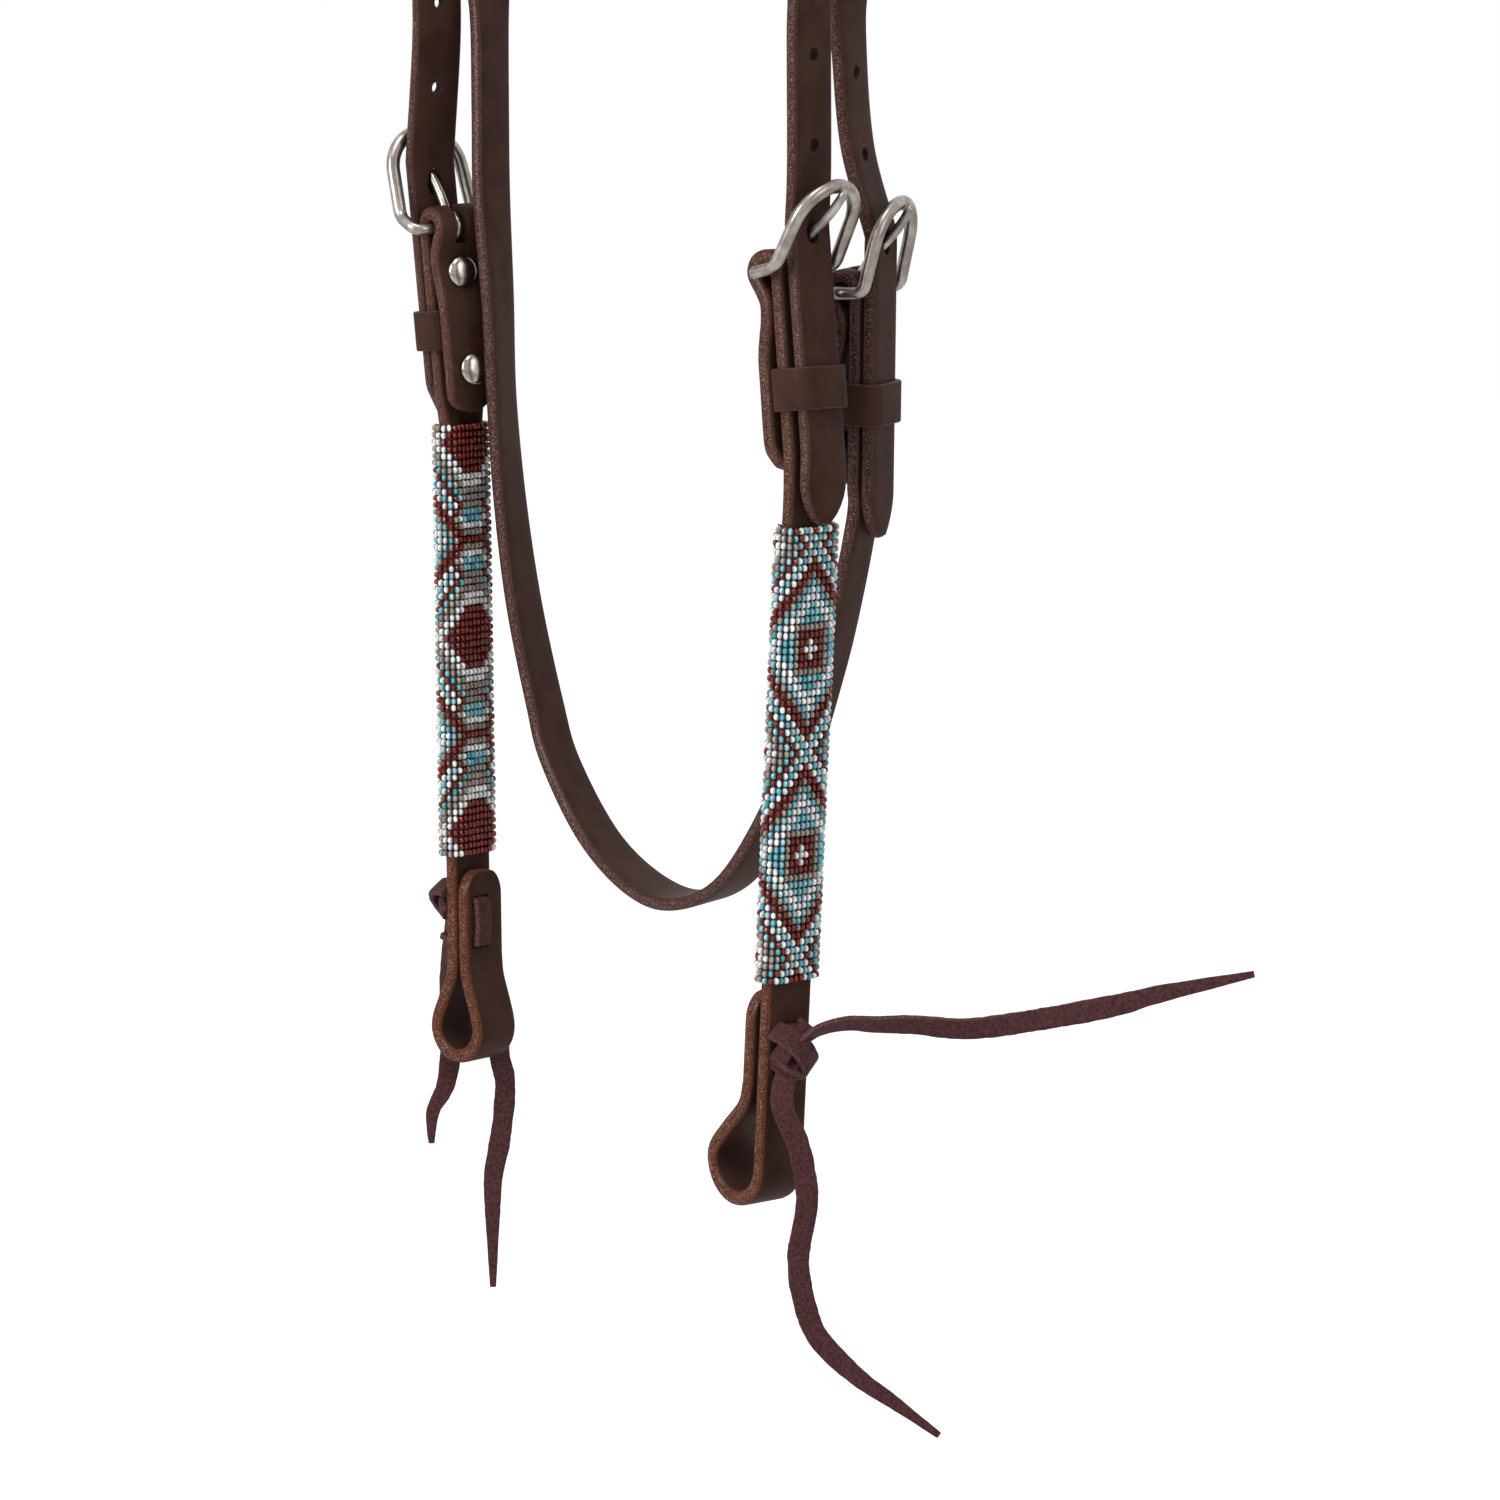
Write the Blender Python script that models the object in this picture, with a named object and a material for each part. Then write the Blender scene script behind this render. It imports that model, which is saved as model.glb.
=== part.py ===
"""Western headstall with two beaded cheeks, hanging from its crown, at real size in metres.

The origin is the underside of the crown at the poll, +Z is up and the horse faces -Y.
The near (left) cheek is at +X and the off cheek at -X. Every length is below; shares are
fractions of the length that they follow.
"""
import math

import bmesh
import bpy
from mathutils import Matrix, Vector

# Leather
STRAP_WIDTH = 0.016
STRAP_THICK = 0.0038            # crown, throatlatch and browband
CHEEK_THICK = 0.0044
EDGE_CUT_SHARE = 0.3            # chamfer along a strap's edge, of its thickness
CLEARANCE = 0.0003              # between pieces that touch
SLIT = 0.001                    # between the two straps of the split crown
BEND_SHARES = (0.33, 0.66, 1)   # cross-sections along a bend
HOLE_RADIUS = 0.0021
HOLE_PITCH = 0.0254
CUT_OVERRUN = 0.002             # how far a cutter runs past what it cuts
STATION_STEP = 0.007            # between cross-sections along a curved strap
THROAT_STEP = 0.010
POINT_LENGTH = 0.012            # taper at a billet's tip
POINT_SHARES = ((0, 0.34), (0.3, 0.66), (0.65, 0.9), (1, 1))
ROUND_LENGTH = 0.008            # rounding at a folded strap's tip
ROUND_SHARES = ((0, 0.5), (0.25, 0.8), (0.6, 0.96), (1, 1))

# Crown, over the poll
NEAR_OUT = 0.0907               # middle of the crown's near leg from the poll
OFF_OUT = 0.1008
ARCH_DROP = 0.098               # the legs run straight down from here
SPLIT_DROP = 0.158              # the slit between the two straps begins here
JOIN_DROP = 0.170               # the throatlatch takes over from the crown's off leg here
JOIN_RUN = 0.005                # it runs straight down this far before it turns in

# Buckle bars: place of each bar's middle, and how the strap on it hangs
NEAR_BAR = (0.0775, 0, -0.2555)
OFF_BAR = (-0.0930, 0, -0.2538)
THROAT_BAR = (0.0735, 0.0270, -0.2620)
NEAR_LEANS = (-7.0, 4.2)        # degrees inwards, upper part and sleeve part
OFF_LEANS = (5.0, 1.0)
THROAT_LEANS = (1.0, 1.0)
NEAR_YAWS = (14.0, 4.0)         # degrees, outer face turned to the rear, upper and sleeve part
OFF_YAWS = (0.0, 14.0)
THROAT_YAWS = (30.0, 30.0)
NEAR_SWINGS = (0, 0)            # degrees rearwards, upper part and sleeve part
OFF_SWINGS = (2.5, 0)
THROAT_SWINGS = (0, 0)
NEAR_BILLET_GAP = 0.0021        # between a billet and the strap that it lies on
OFF_BILLET_GAP = 0.0006
THROAT_BILLET_GAP = 0.0003

# Buckle, a wire frame with its tongue
BAR_RADIUS = 0.0018
TONGUE_RADIUS = 0.0013
TONGUE_TIP_SHARE = 0.7
SHANK_SHARE = 0.98              # the tongue's shank beside its eye
TONGUE_PLAY = 0.0008            # between the tongue and the billet's hole
FRAME_ELBOW = 0.0020            # an elbow's bend begins and ends this far from it
FRAME_TOP_RADIUS = 0.0120
FRAME_BAR_HALF = 0.0130
FRAME_CORNER = 0.0030
CHEEK_HEEL = 0.0086             # bar to the elbow of each arm
THROAT_HEEL = 0.0086
CHEEK_HEEL_BEND = 50.0          # degrees between the heel and the arm
THROAT_HEEL_BEND = 75.0
CHEEK_ARM = 0.0250              # elbow to the middle of the top
THROAT_ARM = 0.0250
NEAR_FRAME_LEAN = 33.0          # degrees outwards, of the arms
OFF_FRAME_LEAN = 12.0
THROAT_FRAME_LEAN = 13.0

# Keeper and screws
KEEPER_HEIGHT = 0.012
KEEPER_THICK = 0.0018
KEEPER_CORNER = 0.0012
KEEPER_DROP = 0.0315            # bar to the middle of the keeper's room
NEAR_KEEPER_LOWER = 0.0012      # each keeper's place below that middle
OFF_KEEPER_LOWER = -0.0010
KEEPER_ROOM = 0.0040            # the tail is open this far above the keeper
SCREW_DROP = 0.0136             # bar to the upper screw
SCREW_PITCH = 0.0290
SCREW_HEAD_RADIUS = 0.00485
SCREW_BARREL_RADIUS = 0.0024
SCREW_STUD_RADIUS = 0.0013
SCREW_FLANGE = 0.0010
SCREW_DOME = 0.0020
SCREW_RIM = 0.0004
DOME_SHARES = ((0.6, 0.75), (1, 0.3))

# Folded tail behind each buckle
TAIL_LENGTH = 0.0550
TAIL_CLOSE = 0.0086             # the fold narrows to the two layers within this
TAIL_RAMP = 0.0026              # length over which the tail steps out round the keeper

# Cheek
NEAR_SLEEVE_DROP = 0.0704       # bar to the top of the beads
OFF_SLEEVE_DROP = 0.0588
BEND_START = 0.0500             # the lean changes between here and the sleeve
BEAD_PITCH = 0.00211
BEAD_ROWS = 62
SLEEVE_WIDTH = 0.0214
SLEEVE_THICK = 0.0098
SLEEVE_FIT = 0.0004
BILLET_SHORT = 0.0015           # the billet ends this far above the beads
CHEEK_REACH = 0.0045            # lower end of the beads to the fold-back's tip
FOLD_LENGTH = 0.0260            # fold-back's tip to where the bit loop opens
NEAR_FOLD_GAP = 0.0020          # between the two layers above the bit loop
OFF_FOLD_GAP = 0.0003
NEAR_LOOP_WIDTH = 0.0150        # inside the bit loop
OFF_LOOP_WIDTH = 0.0125
NEAR_LOOP_HEIGHT = 0.0345
OFF_LOOP_HEIGHT = 0.0285
NEAR_LOOP_SHARE = 1.0           # of the loop's bulge that is on its inner side
OFF_LOOP_SHARE = 0.4
FLARE_SHARES = ((0.3, 0.12), (0.6, 0.55), (0.85, 0.9))

# Lace that ties the bit loop
LACE_WIDTH = 0.0060
LACE_THICK = 0.0024
LACE_DROP = 0.0090              # fold-back's tip to the upper slot
LACE_PITCH = 0.0130
KNOT_WIDTH = 0.0110
KNOT_HEIGHT = 0.0140
NEAR_KNOT_THICK = 0.0070
OFF_KNOT_THICK = 0.0095
NEAR_KNOT_RISE = 0              # of the knot above the middle of the two slots
OFF_KNOT_RISE = 0.0040
LACE_TIP_SHARE = 0.3
LACE_TAIL_SHARES = (0.9, 0.82)  # each tail's thickness, of the lace's
LACE_LOOK = (0.819, -0.574, 0.156)      # the direction that the tails' flat faces look in

# Browband, which slides on the crown's legs
BAND_DROP = 0.1250
BAND_DEPTH = 0.1150             # how far the band bows forward of the poll
BAND_FLARE = 0.0060             # in front of a leg, where its loop closes
BAND_LOOP_FIT = 0.0007
BAND_SLEEVE_SHARE = 0.62        # of the band's bow that is beaded
BAND_SEAT = 0.0140              # length of the doubled end in front of a loop
BAND_STATIONS = 40              # along the bow

SIDES_WIRE = 8
SIDES_SCREW = 12
LEATHER = ((0.030, 0.016, 0.013, 1), 0.45, 0.0)
LACING = ((0.085, 0.035, 0.032, 1), 0.65, 0.0)
BEADING = ((0.16, 0.42, 0.50, 1), 0.25, 0.0)
STEEL = ((0.55, 0.53, 0.50, 1), 0.28, 1.0)
NICKEL = ((0.62, 0.60, 0.57, 1), 0.22, 1.0)
UP = Vector((0, 0, 1))


def clear_scene():
    for item in list(bpy.data.objects):
        bpy.data.objects.remove(item, do_unlink=True)


def paint(name, finish):
    colour, roughness, metallic = finish
    material = bpy.data.materials.new(name)
    material.use_nodes = True
    shader = material.node_tree.nodes["Principled BSDF"]
    shader.inputs["Base Color"].default_value = colour
    shader.inputs["Roughness"].default_value = roughness
    shader.inputs["Metallic"].default_value = metallic
    material.diffuse_color = colour
    return material


def make_object(name, bm, finish, pivot=None):
    """Turn a bmesh into a named object with its own material and its origin at the pivot."""
    bmesh.ops.recalc_face_normals(bm, faces=bm.faces)
    place = Vector(pivot) if pivot is not None else Vector((0, 0, 0))
    bmesh.ops.translate(bm, verts=bm.verts, vec=-place)
    mesh = bpy.data.meshes.new(name)
    bm.to_mesh(mesh)
    bm.free()
    mesh.shade_smooth()
    mesh.set_sharp_from_angle(angle=math.radians(35))
    mesh.materials.append(paint(name, finish))
    item = bpy.data.objects.new(name, mesh)
    item.location = place
    bpy.context.scene.collection.objects.link(item)
    return item


def cut(item, bm, name, operation="DIFFERENCE"):
    """Boolean a bmesh in world space out of an object, or into it."""
    bmesh.ops.recalc_face_normals(bm, faces=bm.faces)
    mesh = bpy.data.meshes.new(name)
    bm.to_mesh(mesh)
    bm.free()
    tool = bpy.data.objects.new(name, mesh)
    tool.hide_render = True
    tool.display_type = "WIRE"
    bpy.context.scene.collection.objects.link(tool)
    step = item.modifiers.new(name, "BOOLEAN")
    step.operation = operation
    step.solver = "EXACT"
    step.object = tool
    return tool


def strap_section(centre, across, normal, width, thick):
    """Eight corners of a strap's cross-section with its edges chamfered."""
    half, face = width / 2, thick / 2
    chamfer = EDGE_CUT_SHARE * thick
    inner, low = half - chamfer, face - chamfer
    corners = ((half, -low), (half, low), (inner, face), (-inner, face),
               (-half, low), (-half, -low), (-inner, -face), (inner, -face))
    return [centre + across * a + normal * b for a, b in corners]


def ring(bm, points):
    return [bm.verts.new(point) for point in points]


def skin(bm, rings, closed=False, caps=(True, True)):
    """Bridge successive rings of vertices, closing the ends with caps or on themselves."""
    last = len(rings) if closed else len(rings) - 1
    for index in range(last):
        low, high = rings[index], rings[(index + 1) % len(rings)]
        for corner in range(len(low)):
            after = (corner + 1) % len(low)
            bm.faces.new((low[corner], low[after], high[after], high[corner]))
    if not closed and caps[0]:
        bm.faces.new(rings[0])
    if not closed and caps[1]:
        bm.faces.new(rings[-1])


def across_of(tangent, roll):
    """Direction across a strap: rearwards and square to its run, rolled by degrees about it."""
    turn = math.radians(roll)
    rear = Vector((0, 1, 0))
    flat = (rear - tangent * rear.dot(tangent)).normalized()
    return flat * math.cos(turn) - tangent.cross(flat) * math.sin(turn)


def smooth_route(points, step):
    """Places and yaws every step along a Catmull-Rom curve through (x, y, z, yaw) points."""
    knots = [Vector(point) for point in points]
    first = knots[0] * 2 - knots[1]
    final = knots[-1] * 2 - knots[-2]
    knots = [first] + knots + [final]
    route = []
    for index in range(1, len(knots) - 2):
        before, start, end, after = knots[index - 1:index + 3]
        count = max(1, math.ceil((end.xyz - start.xyz).length / step))
        for piece in range(count):
            t = piece / count
            route.append(0.5 * (2 * start + (end - before) * t
                                + (2 * before - 5 * start + 4 * end - after) * t ** 2
                                + (3 * start - before - 3 * end + after) * t ** 3))
    route.append(knots[-2])
    return [(place.xyz, place.w) for place in route]


def route_sections(route, width, thick, tips=(None, None)):
    """Cross-sections along a route; a tip is a (length, shares) taper at that end."""
    places = [place for place, yaw in route]
    walked = [0]
    for before, after in zip(places, places[1:]):
        walked.append(walked[-1] + (after - before).length)
    marks = [(distance, None) for distance in walked]
    for end, tip in enumerate(tips):
        if tip is None:
            continue
        length, shares = tip
        marks = [mark for mark in marks
                 if (mark[0] if end == 0 else walked[-1] - mark[0]) > length]
        for along, breadth in shares:
            from_tip = length * along
            marks.append((from_tip if end == 0 else walked[-1] - from_tip, breadth))
    sections = []
    for distance, breadth in sorted(marks, key=lambda mark: mark[0]):
        index = max(0, sum(1 for mark in walked if mark <= distance) - 1)
        index = min(index, len(places) - 2)
        span = walked[index + 1] - walked[index]
        share = (distance - walked[index]) / span
        place = places[index].lerp(places[index + 1], share)
        yaw = route[index][1] + (route[index + 1][1] - route[index][1]) * share
        around = places[max(index - 1, 0)], places[index], places[index + 1], \
            places[min(index + 2, len(places) - 1)]
        start = (around[2] - around[0]).normalized()
        end = (around[3] - around[1]).normalized()
        tangent = start.lerp(end, share).normalized()
        across = across_of(tangent, yaw)
        normal = across.cross(tangent)
        sections.append(strap_section(place, across, normal,
                                      width * (breadth if breadth else 1), thick))
    return sections


def strap(bm, route, width, thick, tips=(None, None)):
    skin(bm, [ring(bm, section) for section in route_sections(route, width, thick, tips)])


class HangingStrap:
    """Middle line of a strap that hangs from a buckle bar, bending once on the way down."""

    def __init__(self, name, bar, side, leans, swings, yaws, bend_end, billet_gap, buckle):
        self.name = name
        self.bar = Vector(bar)
        self.side = side
        self.yaws = yaws
        self.bend_end = bend_end
        self.billet_out = CHEEK_THICK / 2 + billet_gap + STRAP_THICK / 2
        self.frame_lean, self.heel, self.heel_bend, self.arm = buckle
        self.ways = [Vector((-side * math.sin(math.radians(lean)), math.sin(math.radians(swing)),
                             -math.cos(math.radians(lean)))).normalized()
                     for lean, swing in zip(leans, swings)]
        self.start = self.bar + self.out_at(0) * BAR_TO_STRAP

    def bend_share(self, drop):
        share = (drop - BEND_START) / (self.bend_end - BEND_START)
        return min(max(share, 0), 1)

    def yaw_at(self, drop):
        return self.yaws[0] + (self.yaws[1] - self.yaws[0]) * self.bend_share(drop)

    def down_at(self, drop):
        return self.ways[0].lerp(self.ways[1], self.bend_share(drop)).normalized()

    def across_at(self, drop):
        return across_of(self.down_at(drop), self.yaw_at(drop))

    def out_at(self, drop):
        return self.down_at(drop).cross(self.across_at(drop)) * self.side

    def at(self, drop, out=0, across=0):
        """Point at a drop below the bar, out from the strap's middle and across it."""
        bend = self.bend_end - BEND_START
        share = self.bend_share(drop)
        turned = bend * share * share / 2
        place = self.start + self.ways[0] * (min(drop, BEND_START) + bend * share - turned)
        place += self.ways[1] * (turned + max(drop - self.bend_end, 0))
        return place + self.out_at(drop) * out + self.across_at(drop) * across

    def frame_at(self, drop):
        """Axes outwards, across and up the strap at a drop, as a matrix."""
        axes = Matrix((self.out_at(drop), self.across_at(drop), -self.down_at(drop)))
        return Matrix.Translation(self.at(drop)) @ axes.transposed().to_4x4()

    def section_at(self, drop, out, width, thick):
        return strap_section(self.at(drop, out), self.across_at(drop), self.out_at(drop),
                             width, thick)


# Distances from a cheek strap's middle, from the pieces that lie there
BAR_TO_STRAP = BAR_RADIUS + CLEARANCE + CHEEK_THICK / 2
FOLD_OUT = -(CHEEK_THICK + CLEARANCE)
TAIL_OUT = FOLD_OUT - KEEPER_THICK - CLEARANCE
TAIL_STEP = SCREW_DROP + SCREW_HEAD_RADIUS + CLEARANCE
SLEEVE_LENGTH = BEAD_PITCH * BEAD_ROWS
CROWN_PITCH = STRAP_WIDTH + SLIT

NEAR_BUCKLE = (NEAR_FRAME_LEAN, CHEEK_HEEL, CHEEK_HEEL_BEND, CHEEK_ARM)
OFF_BUCKLE = (OFF_FRAME_LEAN, CHEEK_HEEL, CHEEK_HEEL_BEND, CHEEK_ARM)
THROAT_BUCKLE = (THROAT_FRAME_LEAN, THROAT_HEEL, THROAT_HEEL_BEND, THROAT_ARM)
NEAR_HANG = HangingStrap("near", NEAR_BAR, 1, NEAR_LEANS, NEAR_SWINGS, NEAR_YAWS,
                         NEAR_SLEEVE_DROP, NEAR_BILLET_GAP, NEAR_BUCKLE)
OFF_HANG = HangingStrap("off", OFF_BAR, -1, OFF_LEANS, OFF_SWINGS, OFF_YAWS,
                        OFF_SLEEVE_DROP, OFF_BILLET_GAP, OFF_BUCKLE)
THROAT_HANG = HangingStrap("throat", THROAT_BAR, 1, THROAT_LEANS, THROAT_SWINGS, THROAT_YAWS,
                           TAIL_LENGTH + ROUND_LENGTH, THROAT_BILLET_GAP, THROAT_BUCKLE)


def profile_at(hang, along):
    """Side view of the frame: out and up from the bar, and the lean, at a length along it."""
    arm = math.radians(hang.frame_lean)
    bend = math.radians(hang.heel_bend)
    start = hang.heel - FRAME_ELBOW
    turned = min(max((along - start) / (2 * FRAME_ELBOW), 0), 1)
    lean = arm + bend * (1 - turned)
    radius = 2 * FRAME_ELBOW / bend
    straight = min(along, start)
    after = max(along - start - 2 * FRAME_ELBOW, 0)
    out = (straight * math.sin(arm + bend) + radius * (math.cos(lean) - math.cos(arm + bend))
           + after * math.sin(arm))
    up = (straight * math.cos(arm + bend) + radius * (math.sin(arm + bend) - math.sin(lean))
          + after * math.cos(arm))
    return out, up, lean


def tongue_length(hang):
    """Bar to the middle of the frame's top, in a straight line."""
    out, up, lean = profile_at(hang, hang.heel + hang.arm)
    return math.hypot(out, up)


def tongue_lean(hang):
    """Lean of a tongue that rests on the outside of the frame's top."""
    out, up, lean = profile_at(hang, hang.heel + hang.arm)
    rest = BAR_RADIUS + TONGUE_RADIUS * TONGUE_TIP_SHARE + CLEARANCE
    return math.atan2(out, up) + math.asin(rest / tongue_length(hang))


def billet_hole_drop(hang):
    """How far above the bar the tongue crosses the billet's middle, as a negative drop."""
    return -(BAR_TO_STRAP + hang.billet_out) / math.tan(tongue_lean(hang))


def tail_out(drop):
    """Middle of the folded tail: close behind the strap, then open round the keeper."""
    keeper_top = KEEPER_DROP - KEEPER_HEIGHT / 2 - KEEPER_ROOM
    stops = ((0, -2 * BAR_TO_STRAP), (TAIL_CLOSE, FOLD_OUT), (TAIL_STEP, FOLD_OUT),
             (keeper_top, TAIL_OUT), (TAIL_LENGTH - ROUND_LENGTH, TAIL_OUT),
             (TAIL_LENGTH, FOLD_OUT))
    for (low, before), (high, after) in zip(stops, stops[1:]):
        if drop <= high:
            return before + (after - before) * (drop - low) / (high - low)
    return FOLD_OUT


def bead_bottom(sleeve_drop):
    return sleeve_drop + SLEEVE_LENGTH


def rod(bm, start, end, start_radius, end_radius, sides):
    """Closed round rod between two points."""
    axis = (end - start).normalized()
    turn = axis.to_track_quat("Z", "Y").to_matrix()
    rings = []
    for place, radius in ((start, start_radius), (end, end_radius)):
        rings.append(ring(bm, [
            place + turn @ Vector((math.cos(angle), math.sin(angle), 0)) * radius
            for angle in (2 * math.pi * (side + 0.5) / sides for side in range(sides))]))
    skin(bm, rings)


def block(bm, matrix, low, high):
    """Box between two corners, in a matrix's axes."""
    made = bmesh.ops.create_cube(bm, size=1)["verts"]
    size = [b - a for a, b in zip(low, high)]
    middle = [(a + b) / 2 for a, b in zip(low, high)]
    place = matrix @ Matrix.Translation(middle) @ Matrix.Diagonal((*size, 1))
    bmesh.ops.transform(bm, matrix=place, verts=made)


def tongue_hole(item, hang):
    """Slanting hole where the tongue passes through a billet."""
    lean = tongue_lean(hang)
    direction = hang.frame_at(0).to_3x3() @ Vector((math.sin(lean), 0, math.cos(lean)))
    middle = hang.at(billet_hole_drop(hang), hang.billet_out)
    reach = (STRAP_THICK / 2 + CUT_OVERRUN) / math.sin(lean)
    bm = bmesh.new()
    radius = TONGUE_RADIUS + TONGUE_PLAY
    rod(bm, middle - direction * reach, middle + direction * reach, radius, radius, SIDES_SCREW)
    cut(item, bm, f"{item.name}_tongue_hole_{hang.name}")


def crown_places(rear):
    """Front or rear strap of the crown from its near split over the poll to its off split."""
    shift = CROWN_PITCH if rear else 0
    middle = STRAP_THICK / 2
    legs = ((0, NEAR_OUT), (1, OFF_OUT))
    places = [Vector((NEAR_OUT, shift, -SPLIT_DROP)), Vector((NEAR_OUT, shift, -ARCH_DROP))]
    count = 8
    for leg, out in legs:
        for index in range(1, count + (1 - leg)):
            share = index / count
            angle = math.pi / 2 * (share + leg)
            places.append(Vector((out * math.cos(angle), shift,
                                  -ARCH_DROP + (ARCH_DROP + middle) * math.sin(angle))))
    places += [Vector((-OFF_OUT, shift, -ARCH_DROP)), Vector((-OFF_OUT, shift, -SPLIT_DROP))]
    return places


def crown_sections(rear):
    places = crown_places(rear)
    sections = []
    for index, place in enumerate(places):
        ahead = places[min(index + 1, len(places) - 1)]
        behind = places[max(index - 1, 0)]
        tangent = (ahead - behind).normalized()
        across = across_of(tangent, 0)
        sections.append(strap_section(place, across, across.cross(tangent),
                                      STRAP_WIDTH, STRAP_THICK))
    return sections


def billet_route(hang, top_route):
    """Billet's middle line from the crown's split to just above the tongue's hole."""
    lead = -billet_hole_drop(hang) + HOLE_RADIUS + CUT_OVERRUN
    join = hang.at(-lead, hang.billet_out)
    return smooth_route([*top_route, (*join, hang.yaw_at(0))], STATION_STEP), lead


def billet_sections(hang, top_route, tip_drop):
    """Billet from the crown's split to its point, lying outside the strap that hangs."""
    route, lead = billet_route(hang, top_route)
    upper = route_sections(route, STRAP_WIDTH, STRAP_THICK)[1:-1]
    bend = hang.bend_end - BEND_START
    drops = [-lead, 0, BEND_START] + [BEND_START + bend * share for share in BEND_SHARES[:-1]]
    drops = [drop for drop in drops if drop < tip_drop - POINT_LENGTH]
    lower = [hang.section_at(drop, hang.billet_out, STRAP_WIDTH, STRAP_THICK) for drop in drops]
    for along, breadth in reversed(POINT_SHARES):
        lower.append(hang.section_at(tip_drop - POINT_LENGTH * along, hang.billet_out,
                                     STRAP_WIDTH * breadth, STRAP_THICK))
    return match_sections(upper, lower)


def match_sections(upper, lower):
    """Number the lower sections' corners as the upper ones', so that the skin isn't twisted."""
    reference = upper[-1]
    best = min(((turn, flip) for turn in range(len(reference)) for flip in (1, -1)),
               key=lambda pick: sum((reference[corner] - lower[0][(pick[0] + pick[1] * corner)
                                                                 % len(reference)]).length
                                    for corner in range(len(reference))))
    turn, flip = best
    return upper + [[section[(turn + flip * corner) % len(section)]
                     for corner in range(len(section))] for section in lower]


# Routes above the buckles, as shares of a leg's place, of the crown's pitch and of the split's
# drop, with the roll in degrees
NEAR_TOP_SHARES = ((1, 0, 1, 0), (1, 0, 1.127, 14), (0.997, 0, 1.2, 14), (0.983, 0.06, 1.424, 14))
OFF_TOP_SHARES = ((1, 0, 1, 0), (1, 0, 1.127, 0), (1, 0, 1.26, 0))
THROAT_TOP_SHARES = ((1, 1, 1, 0), (0.926, 1.06, 1.127, 20), (0.893, 1.206, 1.234, 28),
                     (0.862, 1.5, 1.405, 30))


def laid_out(shares, out):
    return [(out * x, CROWN_PITCH * y, -SPLIT_DROP * z, roll) for x, y, z, roll in shares]


NEAR_TOP = laid_out(NEAR_TOP_SHARES, NEAR_OUT)
OFF_TOP = laid_out(OFF_TOP_SHARES, -OFF_OUT)
THROAT_TOP = laid_out(THROAT_TOP_SHARES, NEAR_OUT)
OFF_ROOT = [(-OFF_OUT, CROWN_PITCH, -SPLIT_DROP, 0), (-OFF_OUT, CROWN_PITCH, -JOIN_DROP, 0)]
WIDE_CORNERS = (("rear", 0), ("rear", 1), ("rear", 2), ("rear", 3), ("front", 2), ("front", 3),
                ("front", 4), ("front", 5), ("front", 6), ("front", 7), ("rear", 6), ("rear", 7))
CROTCH_CORNERS = (("rear", 3), ("rear", 4), ("rear", 5), ("rear", 6),
                  ("front", 7), ("front", 0), ("front", 1), ("front", 2))


def make_crown():
    """One piece of leather: the arch over the poll, slit into two straps on each side."""
    bm = bmesh.new()
    sections = {"front": crown_sections(False), "rear": crown_sections(True)}
    last = len(sections["front"]) - 1
    rings = []
    splits = {}
    for index in range(last + 1):
        if index in (0, last):
            both = {strip: ring(bm, sections[strip][index]) for strip in sections}
            splits[index] = both
            rings.append([both[strip][corner] for strip, corner in WIDE_CORNERS])
        else:
            rings.append(ring(bm, [sections[strip][index][corner]
                                   for strip, corner in WIDE_CORNERS]))
    skin(bm, rings, caps=(False, False))
    for both in splits.values():
        bm.faces.new([both[strip][corner] for strip, corner in CROTCH_CORNERS])
    near_tip = NEAR_SLEEVE_DROP - BILLET_SHORT
    off_tip = OFF_SLEEVE_DROP - BILLET_SHORT
    root = route_sections(smooth_route(OFF_ROOT, STATION_STEP), STRAP_WIDTH, STRAP_THICK)[1:]
    branches = (
        (0, "front", billet_sections(NEAR_HANG, NEAR_TOP, near_tip)),
        (0, "rear", billet_sections(THROAT_HANG, THROAT_TOP, near_tip)),
        (last, "front", billet_sections(OFF_HANG, OFF_TOP, off_tip)),
        (last, "rear", root),
    )
    for end, strip, branch in branches:
        start = splits[end][strip]
        matched = match_sections([[vert.co.copy() for vert in start]], branch)[1:]
        skin(bm, [start] + [ring(bm, section) for section in matched], caps=(False, True))
    crown = make_object("crown_strap", bm, LEATHER)
    punch_billets(crown)
    return crown


def punch_billets(crown):
    """The hole in use and those above it, which follow the billet's own route."""
    reach = STRAP_THICK / 2 + CUT_OVERRUN
    for hang, top in ((NEAR_HANG, NEAR_TOP), (OFF_HANG, OFF_TOP), (THROAT_HANG, THROAT_TOP)):
        tongue_hole(crown, hang)
        route, lead = billet_route(hang, top)
        places = [place for place, roll in route]
        in_use = hang.at(billet_hole_drop(hang), hang.billet_out)
        for step in (1, 2):
            index = min(range(1, len(places) - 1),
                        key=lambda pick: abs((places[pick] - in_use).length - HOLE_PITCH * step))
            direction = (places[index + 1] - places[index - 1]).normalized()
            toward = HOLE_PITCH * step - (places[index] - in_use).length
            middle = places[index] - direction * toward
            face = across_of(direction, route[index][1]).cross(direction)
            bm = bmesh.new()
            rod(bm, middle - face * reach, middle + face * reach,
                HOLE_RADIUS, HOLE_RADIUS, SIDES_WIRE)
            cut(crown, bm, f"crown_hole_{hang.name}_{step}")


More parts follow.
